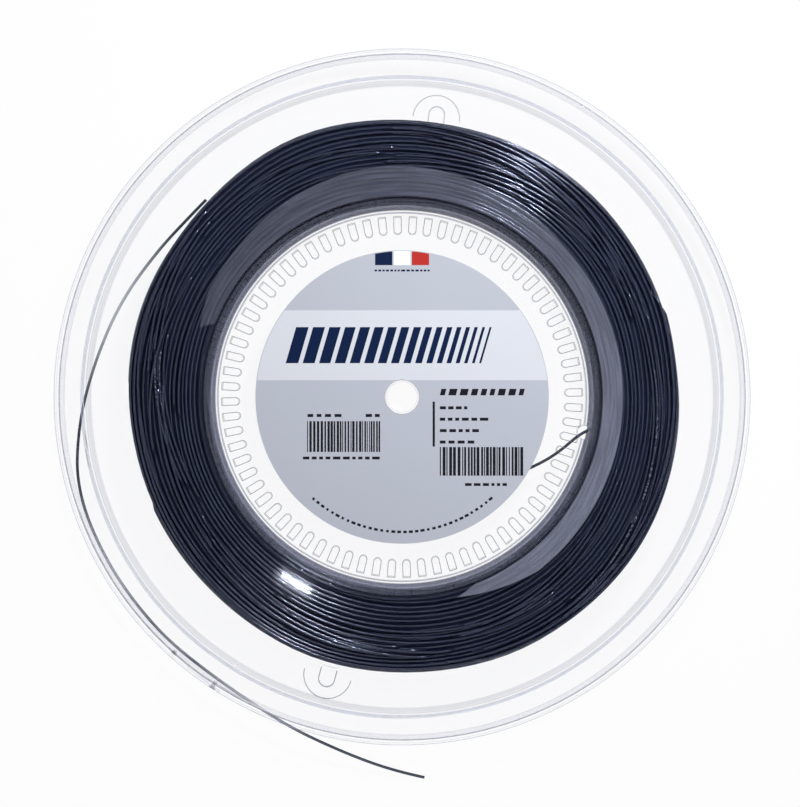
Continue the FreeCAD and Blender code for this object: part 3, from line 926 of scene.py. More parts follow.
@dataclass
class Clip:
    """The tongue in a flange that holds the string, and the dark beads that paint in the shaded lines
    round its slot and its dish.

    Attributes:
        face: Which half it is on.
        plastics: The clear plastics.
        angle: Place round the reel, in degrees.
        root: Radius at which the tongue begins.
        length: Length of the tongue.
        half_width: Half the width of the tongue.
        slot: Width of the slot round it.
        dish_radius: Radius of the round dish about the clip.
        dish_centre: Radius of the dish's place.
        dish_depth: Depth of the dish.
        bead: Radius of the beads that line the slot and the dish.
    """

    face: Face
    plastics: Plastics
    angle: float = 255.0
    root: float = 0.1189
    length: float = 0.0084
    half_width: float = 0.0033
    slot: float = 0.0005
    dish_radius: float = 0.0106
    dish_centre: float = 0.1220
    dish_depth: float = 0.0004
    bead: float = 0.00021

    def tongue(self) -> bpy.types.Object:
        """Makes the tongue from its CAD node."""
        side = self.face.value
        tongue = dressed(side + "_tongue", side + "_clip_tongue", self.plastics.moulding, side + "_clip")
        mark_edges(tongue, self.plastics.edges, lambda middles: Clip.about(self.face.placed(middles)))
        mark_edges(tongue, self.plastics.hinge, lambda middles: Clip.at_hinge(self.face.placed(middles)))
        return tongue

    @classmethod
    def along_and_across(cls, local: np.ndarray) -> tuple[np.ndarray, np.ndarray]:
        """Distances of points of the front face along and across the clip's own radius."""
        angle = math.radians(cls.angle)
        along = local[:, 0] * math.cos(angle) + local[:, 1] * math.sin(angle)
        return along, local[:, 1] * math.cos(angle) - local[:, 0] * math.sin(angle)

    @classmethod
    def about(cls, local: np.ndarray) -> np.ndarray:
        """Which points of the front face lie about the clip."""
        along, across = cls.along_and_across(local)
        return np.hypot(along - cls.dish_centre, across) < cls.dish_radius * 1.1

    @classmethod
    def at_hinge(cls, local: np.ndarray) -> np.ndarray:
        """Which points of the front face lie at the clip's hinge."""
        along, across = cls.along_and_across(local)
        return (np.abs(along - cls.root) < 0.0009) & (np.abs(across) < cls.half_width * 0.95)

    def turned(self, along: np.ndarray, across: np.ndarray, height: float) -> np.ndarray:
        """Points at distances along and across the clip's own radius, at a height."""
        angle = math.radians(self.angle)
        x = along * math.cos(angle) - across * math.sin(angle)
        y = along * math.sin(angle) + across * math.cos(angle)
        return np.stack([x, y, np.full_like(x, height)], axis=-1)

    def slot_bead(self) -> bpy.types.Object:
        """Makes the dark bead round the slot, which paints in the slot's shaded line: two straight runs
        and the half round between them.
        """
        reach = self.half_width + self.slot / 4
        straight = self.root + self.length - self.half_width
        sweep = np.linspace(-math.pi / 2, math.pi / 2, 24)
        start = np.linspace(self.root + 0.0008, straight, 8)[:-1]
        along = np.concatenate([start, straight + reach * np.cos(sweep), start[::-1]])
        across = np.concatenate([np.full(7, -reach), reach * np.sin(sweep), np.full(7, reach)])
        line = self.turned(along, across, REEL_HEIGHT - self.dish_depth - self.bead * 0.5)
        return bead(self.face, "slot_bead", line, self.bead, self.plastics.beads)

    def dish_bead(self) -> bpy.types.Object:
        """Makes the dark arc that paints in the shaded edge of the dish about the clip, along the outer
        part of its wall.
        """
        turn = np.radians(np.linspace(-90, 90, 60))
        reach = self.dish_radius - self.bead * 2
        line = self.turned(self.dish_centre + self.bead + reach * np.cos(turn), reach * np.sin(turn),
                           REEL_HEIGHT - self.dish_depth - self.bead * 0.3)
        return bead(self.face, "dish_bead", line, self.bead * 0.8, self.plastics.beads)


@dataclass
class RimBand:
    """The film band that closes the reel between its rims, and its two snap pegs.

    Attributes:
        material: The band's film.
        peg_material: The pegs' plastic.
        pegs: Names of the pegs' CAD nodes.
    """

    material: bpy.types.Material
    peg_material: bpy.types.Material
    pegs: tuple[str, ...] = ("band_peg_first", "band_peg_last")

    def hoop(self) -> bpy.types.Object:
        """Makes the band with its slit, window and sprung tail, from its CAD node."""
        return dressed("closing_band", "rim_band", self.material, "band")

    def snap_pegs(self) -> None:
        """Dresses the two pegs where the CAD has them."""
        for name in self.pegs:
            dressed(name + "_snap", name, self.peg_material, "band")


# The string


@dataclass(frozen=True)
class Sweep:
    """A group of strands side by side that cross over the winding's turns.

    Attributes:
        begin: Angle at which they rise, in degrees.
        span: Angle that they cover, in degrees.
        travel: Middle of their path along the winding's outline, in metres.
        drift: How far they move along the outline on their way.
        strands: How many they are.
        gap: Space between one strand and the next.
        depth: Depth of their middles below the winding's surface.
    """

    begin: float
    span: float
    travel: float
    drift: float
    strands: int
    gap: float
    depth: float


# Height, middle and width in degrees of each round hump on the winding's outside
SWELLS = (
    (0.0026, 112, 17), (0.0021, 305, 38), (0.0005, 40, 26), (0.0007, 153, 14), (-0.0018, 215, 26),
    (-0.0010, 8, 10), (0.0006, 62, 46), (-0.0003, 195, 35), (-0.0007, 283, 16), (0.0006, 66, 10),
)
# Begin, span, radius, drift and strands of each group that crosses over the front's turns
FRONT_FANS = (
    (14.0, 80.0, 0.1095, 0.0062, 4),
    (20.0, 78.0, 0.1018, -0.0055, 4),
    (138.0, 62.0, 0.1060, 0.0074, 1),
    (132.0, 50.0, 0.1095, -0.0062, 3),
    (160.0, 52.0, 0.1020, -0.0060, 3),
    (206.0, 66.0, 0.1042, 0.0048, 3),
    (238.0, 46.0, 0.1078, 0.0056, 2),
    (280.0, 64.0, 0.1003, -0.0042, 3),
    (298.0, 90.0, 0.1102, -0.0050, 3),
    (84.0, 66.0, 0.1070, 0.0048, 2),
)


@dataclass
class Winding:
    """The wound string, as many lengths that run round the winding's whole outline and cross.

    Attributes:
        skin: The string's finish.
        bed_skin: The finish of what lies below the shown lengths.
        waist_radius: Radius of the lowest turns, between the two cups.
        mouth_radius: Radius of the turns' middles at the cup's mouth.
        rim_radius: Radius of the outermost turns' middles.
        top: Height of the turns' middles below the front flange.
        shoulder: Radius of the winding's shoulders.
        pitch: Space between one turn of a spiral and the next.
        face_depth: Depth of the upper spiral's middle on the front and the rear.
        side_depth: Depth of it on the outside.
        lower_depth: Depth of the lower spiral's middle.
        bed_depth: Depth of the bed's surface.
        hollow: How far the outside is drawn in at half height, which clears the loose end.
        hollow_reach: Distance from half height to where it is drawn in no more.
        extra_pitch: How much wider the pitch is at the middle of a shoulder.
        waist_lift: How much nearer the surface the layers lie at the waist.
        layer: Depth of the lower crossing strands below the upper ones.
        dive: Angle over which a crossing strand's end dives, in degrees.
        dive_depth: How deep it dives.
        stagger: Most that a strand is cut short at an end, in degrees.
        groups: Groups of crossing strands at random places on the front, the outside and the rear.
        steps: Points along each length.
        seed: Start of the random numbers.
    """

    skin: bpy.types.Material
    bed_skin: bpy.types.Material
    waist_radius: float = 0.08205
    mouth_radius: float = 0.08580
    rim_radius: float = 0.11800
    top: float = 0.02012
    shoulder: float = 0.0037
    pitch: float = 0.00182
    face_depth: float = 0.0020
    side_depth: float = 0.0007
    lower_depth: float = 0.0030
    bed_depth: float = 0.0034
    hollow: float = 0.0026
    hollow_reach: float = 0.0050
    extra_pitch: float = 0.0012
    waist_lift: float = 0.0009
    layer: float = 0.0007
    dive: float = 4.0
    dive_depth: float = 0.0030
    stagger: float = 9.0
    groups: tuple[int, int, int] = (8, 6, 16)
    steps: int = 100
    seed: int = 7

    def outline(self) -> np.ndarray:
        """Outline of the winding, from the waist over the front, the outside and the rear.

        Straight lines between the corners, with a quarter round of the shoulder's radius at the two
        outer corners, sampled closely.

        Returns:
            Radius and height of each sample, and its distance along the outline.
        """
        low = REEL_HEIGHT - self.top
        inside = self.rim_radius - self.shoulder
        sweep = np.linspace(math.pi / 2, 0, 12)
        front = np.stack([inside + self.shoulder * np.cos(sweep),
                          self.top - self.shoulder * (1 - np.sin(sweep))], -1)
        rear = np.stack([front[::-1, 0], REEL_HEIGHT - front[::-1, 1]], -1)
        cup_foot = 0.0122
        up = [[self.waist_radius, MID_PLANE], [self.waist_radius, cup_foot], [self.mouth_radius, self.top]]
        down = [[self.mouth_radius, low], [self.waist_radius, REEL_HEIGHT - cup_foot],
                [self.waist_radius, MID_PLANE]]
        corners = np.concatenate([up, front, rear, down])
        gaps = np.linalg.norm(np.diff(corners, axis=0), axis=1)
        along = np.concatenate([[0], np.cumsum(gaps)])
        return np.column_stack([corners, along])

    def swell(self, angle: np.ndarray) -> np.ndarray:
        """How far the winding's outside stands out or in at an angle, in metres, as round humps."""
        humps = sum(height * hump(angle, middle, width) for height, middle, width in SWELLS)
        return humps + 0.0002 * np.sin(9 * angle)

    def on_outline(self, travel: np.ndarray, angle: np.ndarray, depth: np.ndarray) -> np.ndarray:
        """Points at a travel along the outline, an angle round the reel and a depth below the surface.

        Args:
            travel: Distance along the outline, in metres.
            angle: Angle round the reel, in radians.
            depth: Depth below the winding's surface, square to the outline.

        Returns:
            The points, with the winding's swell shared out from the mouth to the rim.
        """
        radius, height, along = self.outline().T
        travel = np.clip(travel, 0, along[-1])
        r = np.interp(travel, along, radius)
        z = np.interp(travel, along, height)
        step = 0.0006
        ahead = np.clip(travel + step, 0, along[-1])
        behind = np.clip(travel - step, 0, along[-1])
        dr = np.interp(ahead, along, radius) - np.interp(behind, along, radius)
        dz = np.interp(ahead, along, height) - np.interp(behind, along, height)
        size = np.hypot(dr, dz)
        depth = depth + self.hollow * ease(1 - np.abs(travel - along[-1] / 2) / self.hollow_reach)
        r = r + depth * dz / size
        z = z - depth * dr / size
        share = np.clip((r - self.mouth_radius) / (self.rim_radius - self.mouth_radius), 0, 1.2)
        return polar_points(r + share * self.swell(angle), angle, z)

    def raised(self, travel: np.ndarray) -> np.ndarray:
        """How much nearer the surface the layers lie at the waist, where nothing crosses them."""
        outline = self.outline()
        nearest = np.minimum(travel, outline[-1, 2] - travel)
        return self.waist_lift * (1 - ease((nearest - outline[2, 2]) / 0.004))

    def at_shoulders(self, travel: np.ndarray, reach: float) -> np.ndarray:
        """Share of 1 at the middle of a shoulder, falling to 0 at a reach from it along the outline."""
        whole = self.outline()[-1, 2]
        middle = whole / 2 - (self.top - MID_PLANE) + self.shoulder * (1 - math.pi / 4)
        return ease(1 - np.abs(np.minimum(travel, whole - travel) - middle) / reach)

    def spiral(self, start: float, stop: float, depth: float, lift: float = 0.0) -> np.ndarray:
        """One long line, turn after turn, that runs along the outline and wanders on its way.

        Its travel grows by one pitch a turn, and the pitch is wider about the shoulders. Slow sine
        waves of the angle are added whose count a turn is just off a whole number, and a wave of the
        travel that makes the turns crowd and part in places.

        Args:
            start: Where it begins along the outline.
            stop: Where it ends.
            depth: Depth of its middle below the winding's surface.
            lift: How much nearer the surface it lies about the shoulders.

        Returns:
            Points along it, as an array of 1 x steps x 3.
        """
        samples = np.linspace(start, stop, 400)
        pitch = self.pitch + self.extra_pitch * self.at_shoulders(samples, 0.005)
        count = np.concatenate([[0], np.cumsum(np.diff(samples) / pitch[1:])])
        angle = np.linspace(0, 2 * math.pi * count[-1], int(count[-1] * self.steps))
        even = np.interp(angle / (2 * math.pi), count, samples)
        travel = even + 0.0009 * np.sin(1.02 * angle + 0.4) + 0.0004 * np.sin(2.04 * angle + 0.8)
        travel += 0.00012 * np.sin(5.04 * angle + 1.2)
        travel += 0.00013 * np.sin(2 * math.pi * even / 0.0095 + angle)
        travel = np.clip(travel, start, stop)
        sink = depth - self.raised(even) - lift * self.at_shoulders(even, 0.009)
        sink += 0.00030 * np.sin(0.48 * angle) + 0.0001 * np.sin(3.3 * angle)
        return self.on_outline(travel, angle, sink)[None]

    def crossing(self, sweep: Sweep,
                 chance: np.random.Generator) -> tuple[np.ndarray, np.ndarray, np.ndarray]:
        """Strands side by side that cross over the turns at a shallow angle.

        They drift along the outline as a smooth step. Each rises out of the turns within a few degrees
        at its one end and dives back between them at its other, at places of its own.

        Args:
            sweep: Where they lie and how far they drift.
            chance: Random numbers for small differences.

        Returns:
            Travel, angle and depth of each strand's points, as arrays of strands x steps.
        """
        share = np.linspace(0, 1, self.steps)[None, :]
        order = np.arange(sweep.strands)[:, None] - (sweep.strands - 1) / 2
        shift = math.radians(2)
        begin, span = math.radians(sweep.begin), math.radians(sweep.span)
        early = chance.uniform(-shift, shift, (sweep.strands, 1))
        angle = begin + early + (span + chance.uniform(-shift, shift, (sweep.strands, 1))) * share
        lean = sweep.drift * (1 + chance.uniform(-0.04, 0.04, (sweep.strands, 1)))
        way = sweep.travel + order * sweep.gap + lean * (ease(share) - 0.5)
        way = way + 0.00010 * np.sin(2.6 * angle + chance.uniform(0, 6.28, (sweep.strands, 1)))
        cuts = np.radians(chance.uniform(0, self.stagger, (2, sweep.strands, 1)))
        clear = np.minimum(span * share - cuts[0], span * (1 - share) - cuts[1])
        ends = ease(1 - clear / math.radians(self.dive))
        depth = sweep.depth + self.dive_depth * ends + 0.00012 * np.sin(4 * angle)
        return way, angle, depth

    def front_travel(self, radius: float) -> float:
        """Travel along the outline at which the front's turns have a radius."""
        return self.outline()[2, 2] + radius - self.mouth_radius

    def chance_sweeps(self, start: float, stop: float, count: int,
                      chance: np.random.Generator) -> list[Sweep]:
        """Sweeps spread over one stretch of the outline at random.

        Args:
            start: Where the stretch begins along the outline.
            stop: Where it ends.
            count: How many sweeps.
            chance: The random numbers.

        Returns:
            The sweeps.
        """
        outline = self.outline()
        margin = outline[2, 2] + 0.0045
        low, high = max(start + 0.002, margin), min(stop - 0.002, outline[-1, 2] - margin)
        places = low + (high - low) * chance.permutation((np.arange(count) + 0.5) / count)
        sweeps = []
        for number, place in enumerate(places):
            sweeps.append(Sweep(
                begin=number * 137.5 + chance.uniform(-20, 20),
                span=chance.uniform(60, 150),
                travel=place,
                drift=chance.choice([-1, 1]) * chance.uniform(0.002, 0.006),
                strands=int(chance.integers(1, 4)),
                gap=chance.uniform(0.0019, 0.0023),
                depth=self.layer * (number % 2),
            ))
        return sweeps

    def lengths(self, name: str, start: float, stop: float, below: float, count: int,
                fans: Sequence[tuple[float, float, float, float, int]] = ()) -> bpy.types.Object:
        """Makes the string that covers one stretch of the outline.

        One spiral covers it, and groups of strands cross over the spiral.

        Args:
            name: Name of the piece.
            start: Where the stretch begins along the outline.
            stop: Where it ends.
            below: Depth of the spiral.
            count: Groups of strands that cross over the spiral at random places.
            fans: Begin, span, radius, drift and strands of each group at a chosen place.

        Returns:
            The new piece.
        """
        chance = np.random.default_rng(self.seed + int(start * 1e5))
        upper = self.spiral(start, stop, below, max(below - 0.0012, 0.0))
        sweeps = self.chance_sweeps(start, stop, count, chance)
        for number, (begin, span, radius, drift, strands) in enumerate(fans):
            depth = self.layer * (number % 2)
            sweeps.append(Sweep(begin, span, self.front_travel(radius), drift, strands, 0.0020, depth))
        ways = [self.crossing(sweep, chance) for sweep in sweeps]
        travel, angle, depth = (np.concatenate(part) for part in zip(*ways))
        travel = np.clip(travel, start - 0.0004, stop + 0.0004)
        over = self.on_outline(travel, angle, depth)
        tones = [np.full(upper.shape[1], 0.45), np.repeat(chance.uniform(0.3, 1, len(over)), self.steps)]
        tubes = joined_tubes(name, [Tubes(line, STRING_RADIUS, 8) for line in (upper, over)])
        point_values(tubes, "tone", np.repeat(np.concatenate(tones), 8))
        return finished(tubes, self.skin, "spool")

    def under_turns(self) -> bpy.types.Object:
        """Makes the dark turns that show in the gaps between the upper ones."""
        whole = self.outline()[-1, 2]
        line = self.spiral(self.pitch / 2, whole, self.lower_depth)
        turns = Tubes(line, STRING_RADIUS, 8).made("winding_under_turns")
        return finished(turns, self.bed_skin, "spool")

    def bed(self) -> bpy.types.Object:
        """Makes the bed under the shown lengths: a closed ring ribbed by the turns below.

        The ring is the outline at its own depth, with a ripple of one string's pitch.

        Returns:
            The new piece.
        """
        around, along = 240, 200
        travel = np.linspace(0, self.outline()[-1, 2], along, endpoint=False)
        angle = np.linspace(0, 2 * math.pi, around, endpoint=False)
        turn, way = np.meshgrid(angle, travel, indexing="ij")
        ripple = 0.00018 * np.sin(2 * math.pi * way / self.pitch + 2.5 * np.sin(2 * turn))
        points = self.on_outline(way, turn, self.bed_depth - self.raised(way) + ripple)
        number = np.arange(around * along).reshape(around, along)
        ahead = np.roll(number, -1, axis=0)
        quads = np.stack([number, np.roll(number, -1, 1), np.roll(ahead, -1, 1), ahead], axis=-1)
        bed = mesh_object("winding_bed", points.reshape(-1, 3), quads.reshape(-1, 4))
        return finished(bed, self.bed_skin, "spool")

    def build(self) -> None:
        """Makes the bed and the lengths over the front, the outside and the rear."""
        whole = self.outline()[-1, 2]
        face = (whole / 2) - (self.top - MID_PLANE) + self.shoulder
        bed = self.bed()
        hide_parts("winding_core")
        self.under_turns()
        groups = self.groups
        front = self.lengths("winding_front_turns", 0.0, face, self.face_depth, groups[0], FRONT_FANS)
        side = self.lengths("winding_outer_turns", face, whole - face, self.side_depth, groups[1])
        rear = self.lengths("winding_rear_turns", whole - face, whole, self.face_depth, groups[2])
        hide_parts("winding_turns")
        log.info("winding has %d, %d and %d points", *(len(p.data.vertices) for p in (front, side, rear)))


@dataclass
class RoutedString:
    """A single length of string along a route of points, as one smooth curve.

    Attributes:
        name: Name of the piece.
        node: The CAD node that it stands for.
        body: The CAD body that it moves with.
        skin: The string's finish.
        route: The points that the curve bends between, in metres.
    """

    name: str
    node: str
    body: str
    skin: bpy.types.Material
    route: tuple[tuple[float, float, float], ...]

    def build(self) -> bpy.types.Object:
        """Makes the curve."""
        curve = bpy.data.curves.new(self.name, "CURVE")
        curve.dimensions = "3D"
        curve.bevel_depth = STRING_RADIUS
        curve.bevel_resolution = 3
        curve.use_fill_caps = True
        curve.resolution_u = 16
        spline = curve.splines.new("NURBS")
        spline.points.add(len(self.route) - 1)
        for point, place in zip(spline.points, self.route):
            point.co = (*place, 1.0)
        spline.order_u = 3
        spline.use_endpoint_u = True
        made = finished(linked(self.name, curve), self.skin, self.body)
        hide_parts(self.node)
        return made


LOOSE_END_ROUTE = (
    (-0.0842, 0.0848, 0.0128),
    (-0.0908, 0.0781, 0.0126),
    (-0.1055, 0.0625, 0.0122),
    (-0.1215, 0.0405, 0.0117),
    (-0.1327, 0.0141, 0.0114),
    (-0.1394, -0.0119, 0.0111),
    (-0.1403, -0.0402, 0.0110),
    (-0.1271, -0.0719, 0.0110),
    (-0.1067, -0.0995, 0.0110),
    (-0.0855, -0.1174, 0.0110),
    (-0.0527, -0.1402, 0.0102),
    (-0.0275, -0.1530, 0.0064),
    (-0.0040, -0.1626, 0.0020),
    (0.0097, -0.1657, 0.0007),
)
# Angle, half width in degrees and share of each stretch of the loose end that gets painted sheen.
PAINTED_SHEEN_ZONES = ((163, 20, 0.9), (211, 18, 0.95), (226, 9, 0.55), (243, 15, 1.0))

INNER_END_ROUTE = (
    (0.0829, -0.0133, MID_PLANE),
    (0.0776, -0.0149, MID_PLANE),
    (0.0680, -0.0234, MID_PLANE),
    (0.0586, -0.0292, MID_PLANE),
    (0.0494, -0.0330, MID_PLANE),
)


# The labels


class Ink(Enum):
    """The flat colours that the label is printed in."""

    PALE = (0.660, 0.681, 0.743)
    GREY = (0.475, 0.498, 0.574)
    NAVY = (0.0028, 0.0125, 0.055)
    WHITE = (0.86, 0.88, 0.93)
    RED = (0.47, 0.030, 0.025)
    BLACK = (0.0095, 0.0105, 0.0150)


def upright(left: np.ndarray, right: np.ndarray, low: float, high: float) -> np.ndarray:
    """Left, bottom, right and top of upright bars of one height, one a row."""
    return np.stack(np.broadcast_arrays(left, low, right, high), axis=-1)


@dataclass
class Label:
    """The round paper label in a cup, with plain bars, rules and blocks printed on it.

    Attributes:
        face: Which cup it lies in.
        paper: The paper's finish.
        inks: The finish of each ink.
        radius: Radius of the label.
        hole: Radius of its hole.
        top: Height of the paper's top.
        print_lift: How far the ink lies above the paper.
    """

    face: Face
    paper: bpy.types.Material
    inks: dict[Ink, bpy.types.Material]
    radius: float = 0.0630
    hole: float = 0.0073
    top: float = CUP_FLOOR + 0.00025
    print_lift: float = 0.00002

    def disc(self) -> None:
        """Dresses the paper disc where the CAD has it."""
        dressed(self.face.value + "_paper", self.face.value + "_label", self.paper, "spool")

    def bar_corners(self, bars: np.ndarray, lean: float = 0.0) -> np.ndarray:
        """Corners of upright bars, drawn in where they would pass the label's edge.

        Args:
            bars: Left, bottom, right and top of each bar, one a row, in millimetres.
            lean: How far the top of a bar stands to the right of its foot, in millimetres.

        Returns:
            An array of bars x 4 x 2, in metres.
        """
        left, low, right, high = bars.T * 0.001
        lean *= 0.001
        limit = self.radius * 0.995
        reach = np.sqrt(np.maximum(limit ** 2 - np.maximum(np.abs(left), np.abs(right)) ** 2, 0))
        high = np.minimum(high, reach)
        corners = ((left, low), (right, low), (right + lean, high), (left + lean, high))
        return np.stack([np.stack(corner, -1) for corner in corners], axis=1)

    def inked(self, name: str, corners: np.ndarray, ink: Ink, lift: float = 1.0) -> bpy.types.Object:
        """Makes flat printed shapes from their corners.

        Args:
            name: Name of the print.
            corners: An array of shapes x corners x 2, anticlockwise, in metres.
            ink: The ink.
            lift: How many ink layers above the paper.

        Returns:
            The new piece.
        """
        height = np.full(corners.shape[:2] + (1,), self.top + lift * self.print_lift)
        points = self.face.placed(np.concatenate([corners, height], axis=-1).reshape(-1, 3))
        faces = np.arange(corners.shape[0] * corners.shape[1]).reshape(corners.shape[:2])
        piece = mesh_object(f"{self.face.value}_{name}", points, faces)
        return finished(piece, self.inks[ink], "spool")

    def field(self, name: str, low: float, high: float, ink: Ink, lift: float) -> None:
        """Prints a field from side to side of the label, cut by the label's edge and its hole.

        Args:
            name: Name of the field.
            low: Its lower edge, in metres.
            high: Its upper edge.
            ink: The ink.
            lift: How many ink layers above the paper.
        """
        rows = np.linspace(low, high, 60)
        reach = np.sqrt(np.maximum((self.radius * 0.995) ** 2 - rows ** 2, 0))
        inner = np.sqrt(np.maximum((self.hole * 1.01) ** 2 - rows ** 2, 0))
        out, near = np.stack([reach, rows], -1), np.stack([inner, rows], -1)
        right = np.stack([near[:-1], out[:-1], out[1:], near[1:]], axis=1)
        left = right[:, ::-1] * np.array([-1.0, 1.0])
        self.inked(name, np.concatenate([left, right]), ink, lift)

    def build(self) -> None:
        """Makes the disc and everything printed on it."""
        self.disc()
        self.field("pale_band", 0.0072, 0.0372, Ink.PALE, 1.0)
        self.field("low_field", -0.0626, 0.0072, Ink.GREY, 0.5)
        colours = ((Ink.NAVY, -11.6, -4.2), (Ink.WHITE, -3.6, 3.6), (Ink.RED, 4.2, 11.6))
        for ink, left, right in colours:
            edges = np.linspace(left, right, 9)
            slices = upright(edges[:-1], edges[1:], 56.6, 64.0)
            self.inked(f"top_bar_{ink.name.lower()}", self.bar_corners(slices), ink)
        wide = np.linspace(5.4, 0.9, 17)
        left = -50.0 + np.concatenate([[0], np.cumsum(wide + 1.9)[:-1]])
        strokes = self.bar_corners(upright(left, left + wide, 14.5, 30.0), 4.5)
        self.inked("slanted_strokes", strokes, Ink.NAVY, 2.0)
        self.code_bars("left_bars", -40.8, -9.4, -23.6, -10.4, 4)
        self.code_bars("right_bars", 16.2, 52.0, -33.8, -21.5, 5)
        rule = np.array([[13.1, -21.3, 14.1, -2.0]])
        self.inked("upright_rule", self.bar_corners(rule), Ink.BLACK)
        rows = (
            ("under_top_bars", -11.8, 11.8, 53.9, 0.8, 1.2, Ink.NAVY),
            ("first_row", 16.2, 28.0, -5.3, 1.3, 2.2, Ink.BLACK),
            ("second_row", 16.2, 37.0, -10.2, 1.3, 2.6, Ink.BLACK),
            ("third_row", 16.2, 33.0, -15.1, 1.3, 2.2, Ink.BLACK),
            ("fourth_row", 16.2, 31.0, -20.0, 1.3, 2.6, Ink.BLACK),
            ("left_row", -40.6, -26.0, -8.6, 1.3, 2.4, Ink.BLACK),
            ("left_row_end", -15.6, -9.6, -8.6, 1.3, 1.8, Ink.BLACK),
            ("left_foot_row", -42.6, -9.6, -26.8, 1.2, 2.2, Ink.BLACK),
            ("right_foot_row", 27.0, 45.0, -38.2, 1.2, 2.0, Ink.BLACK),
        )
        for seed, row in enumerate(rows):
            self.print_row(*row, seed)
        self.print_row("bold_row", 16.2, 52.0, 0.7, 2.8, 2.6, Ink.BLACK, 9, 0.7)
        self.foot_dashes()

    def print_row(self, name: str, left: float, right: float, low: float, height: float, block: float,
                  ink: Ink, seed: int, lean: float = 0.0) -> None:
        """Prints a row of plain blocks of uneven widths that stands for a line of small print.

        Args:
            name: Name of the row.
            left: Its left edge, in millimetres.
            right: Its right edge.
            low: Its foot.
            height: Its height.
            block: Mean width of a block.
            ink: The ink.
            seed: Start of the random widths.
            lean: How far the blocks lean to the right, in millimetres.
        """
        chance = np.random.default_rng(seed + 20)
        count = max(2, round((right - left) / (block * 1.45)))
        widths = chance.uniform(0.6, 1.4, count) * block
        cuts = np.cumsum(np.stack([widths, np.full(count, block * 0.45)], -1))
        cuts = np.concatenate([[0], cuts])[:-1]
        cuts = left + (right - left) * cuts / cuts[-1]
        self.inked(name, self.bar_corners(upright(cuts[0::2], cuts[1::2], low, low + height), lean), ink)

    def code_bars(self, name: str, left: float, right: float, low: float, high: float, seed: int) -> None:
        """Prints a field of upright bars of uneven widths, which stand for nothing.

        Args:
            name: Name of the field.
            left: Its left edge, in millimetres.
            right: Its right edge.
            low: Its lower edge.
            high: Its upper edge.
            seed: Start of the random widths.
        """
        chance = np.random.default_rng(seed)
        count = 26
        widths = chance.choice([0.4, 0.75], count)
        gaps = chance.choice([0.5, 0.9, 1.3], count)
        cuts = np.cumsum(np.stack([widths, gaps], -1))
        cuts = left + (right - left) * (cuts - cuts[0]) / (cuts[-1] - cuts[0])
        self.inked(name, self.bar_corners(upright(cuts[0::2], cuts[1::2], low, high)), Ink.BLACK)

    def foot_dashes(self) -> None:
        """Prints a curved row of short dashes near the label's lower edge."""
        chance = np.random.default_rng(11)
        middle = np.radians(np.linspace(-131, -49, 34))
        half = np.radians(chance.uniform(0.45, 0.95, 34))
        inner, outer = 0.0574, 0.0585
        corners = [polar_points(radius, middle + side * half, 0.0)[:, :2]
                   for radius, side in ((inner, -1), (outer, -1), (outer, 1), (inner, 1))]
        self.inked("foot_dashes", np.stack(corners, axis=1), Ink.BLACK)


# The studio


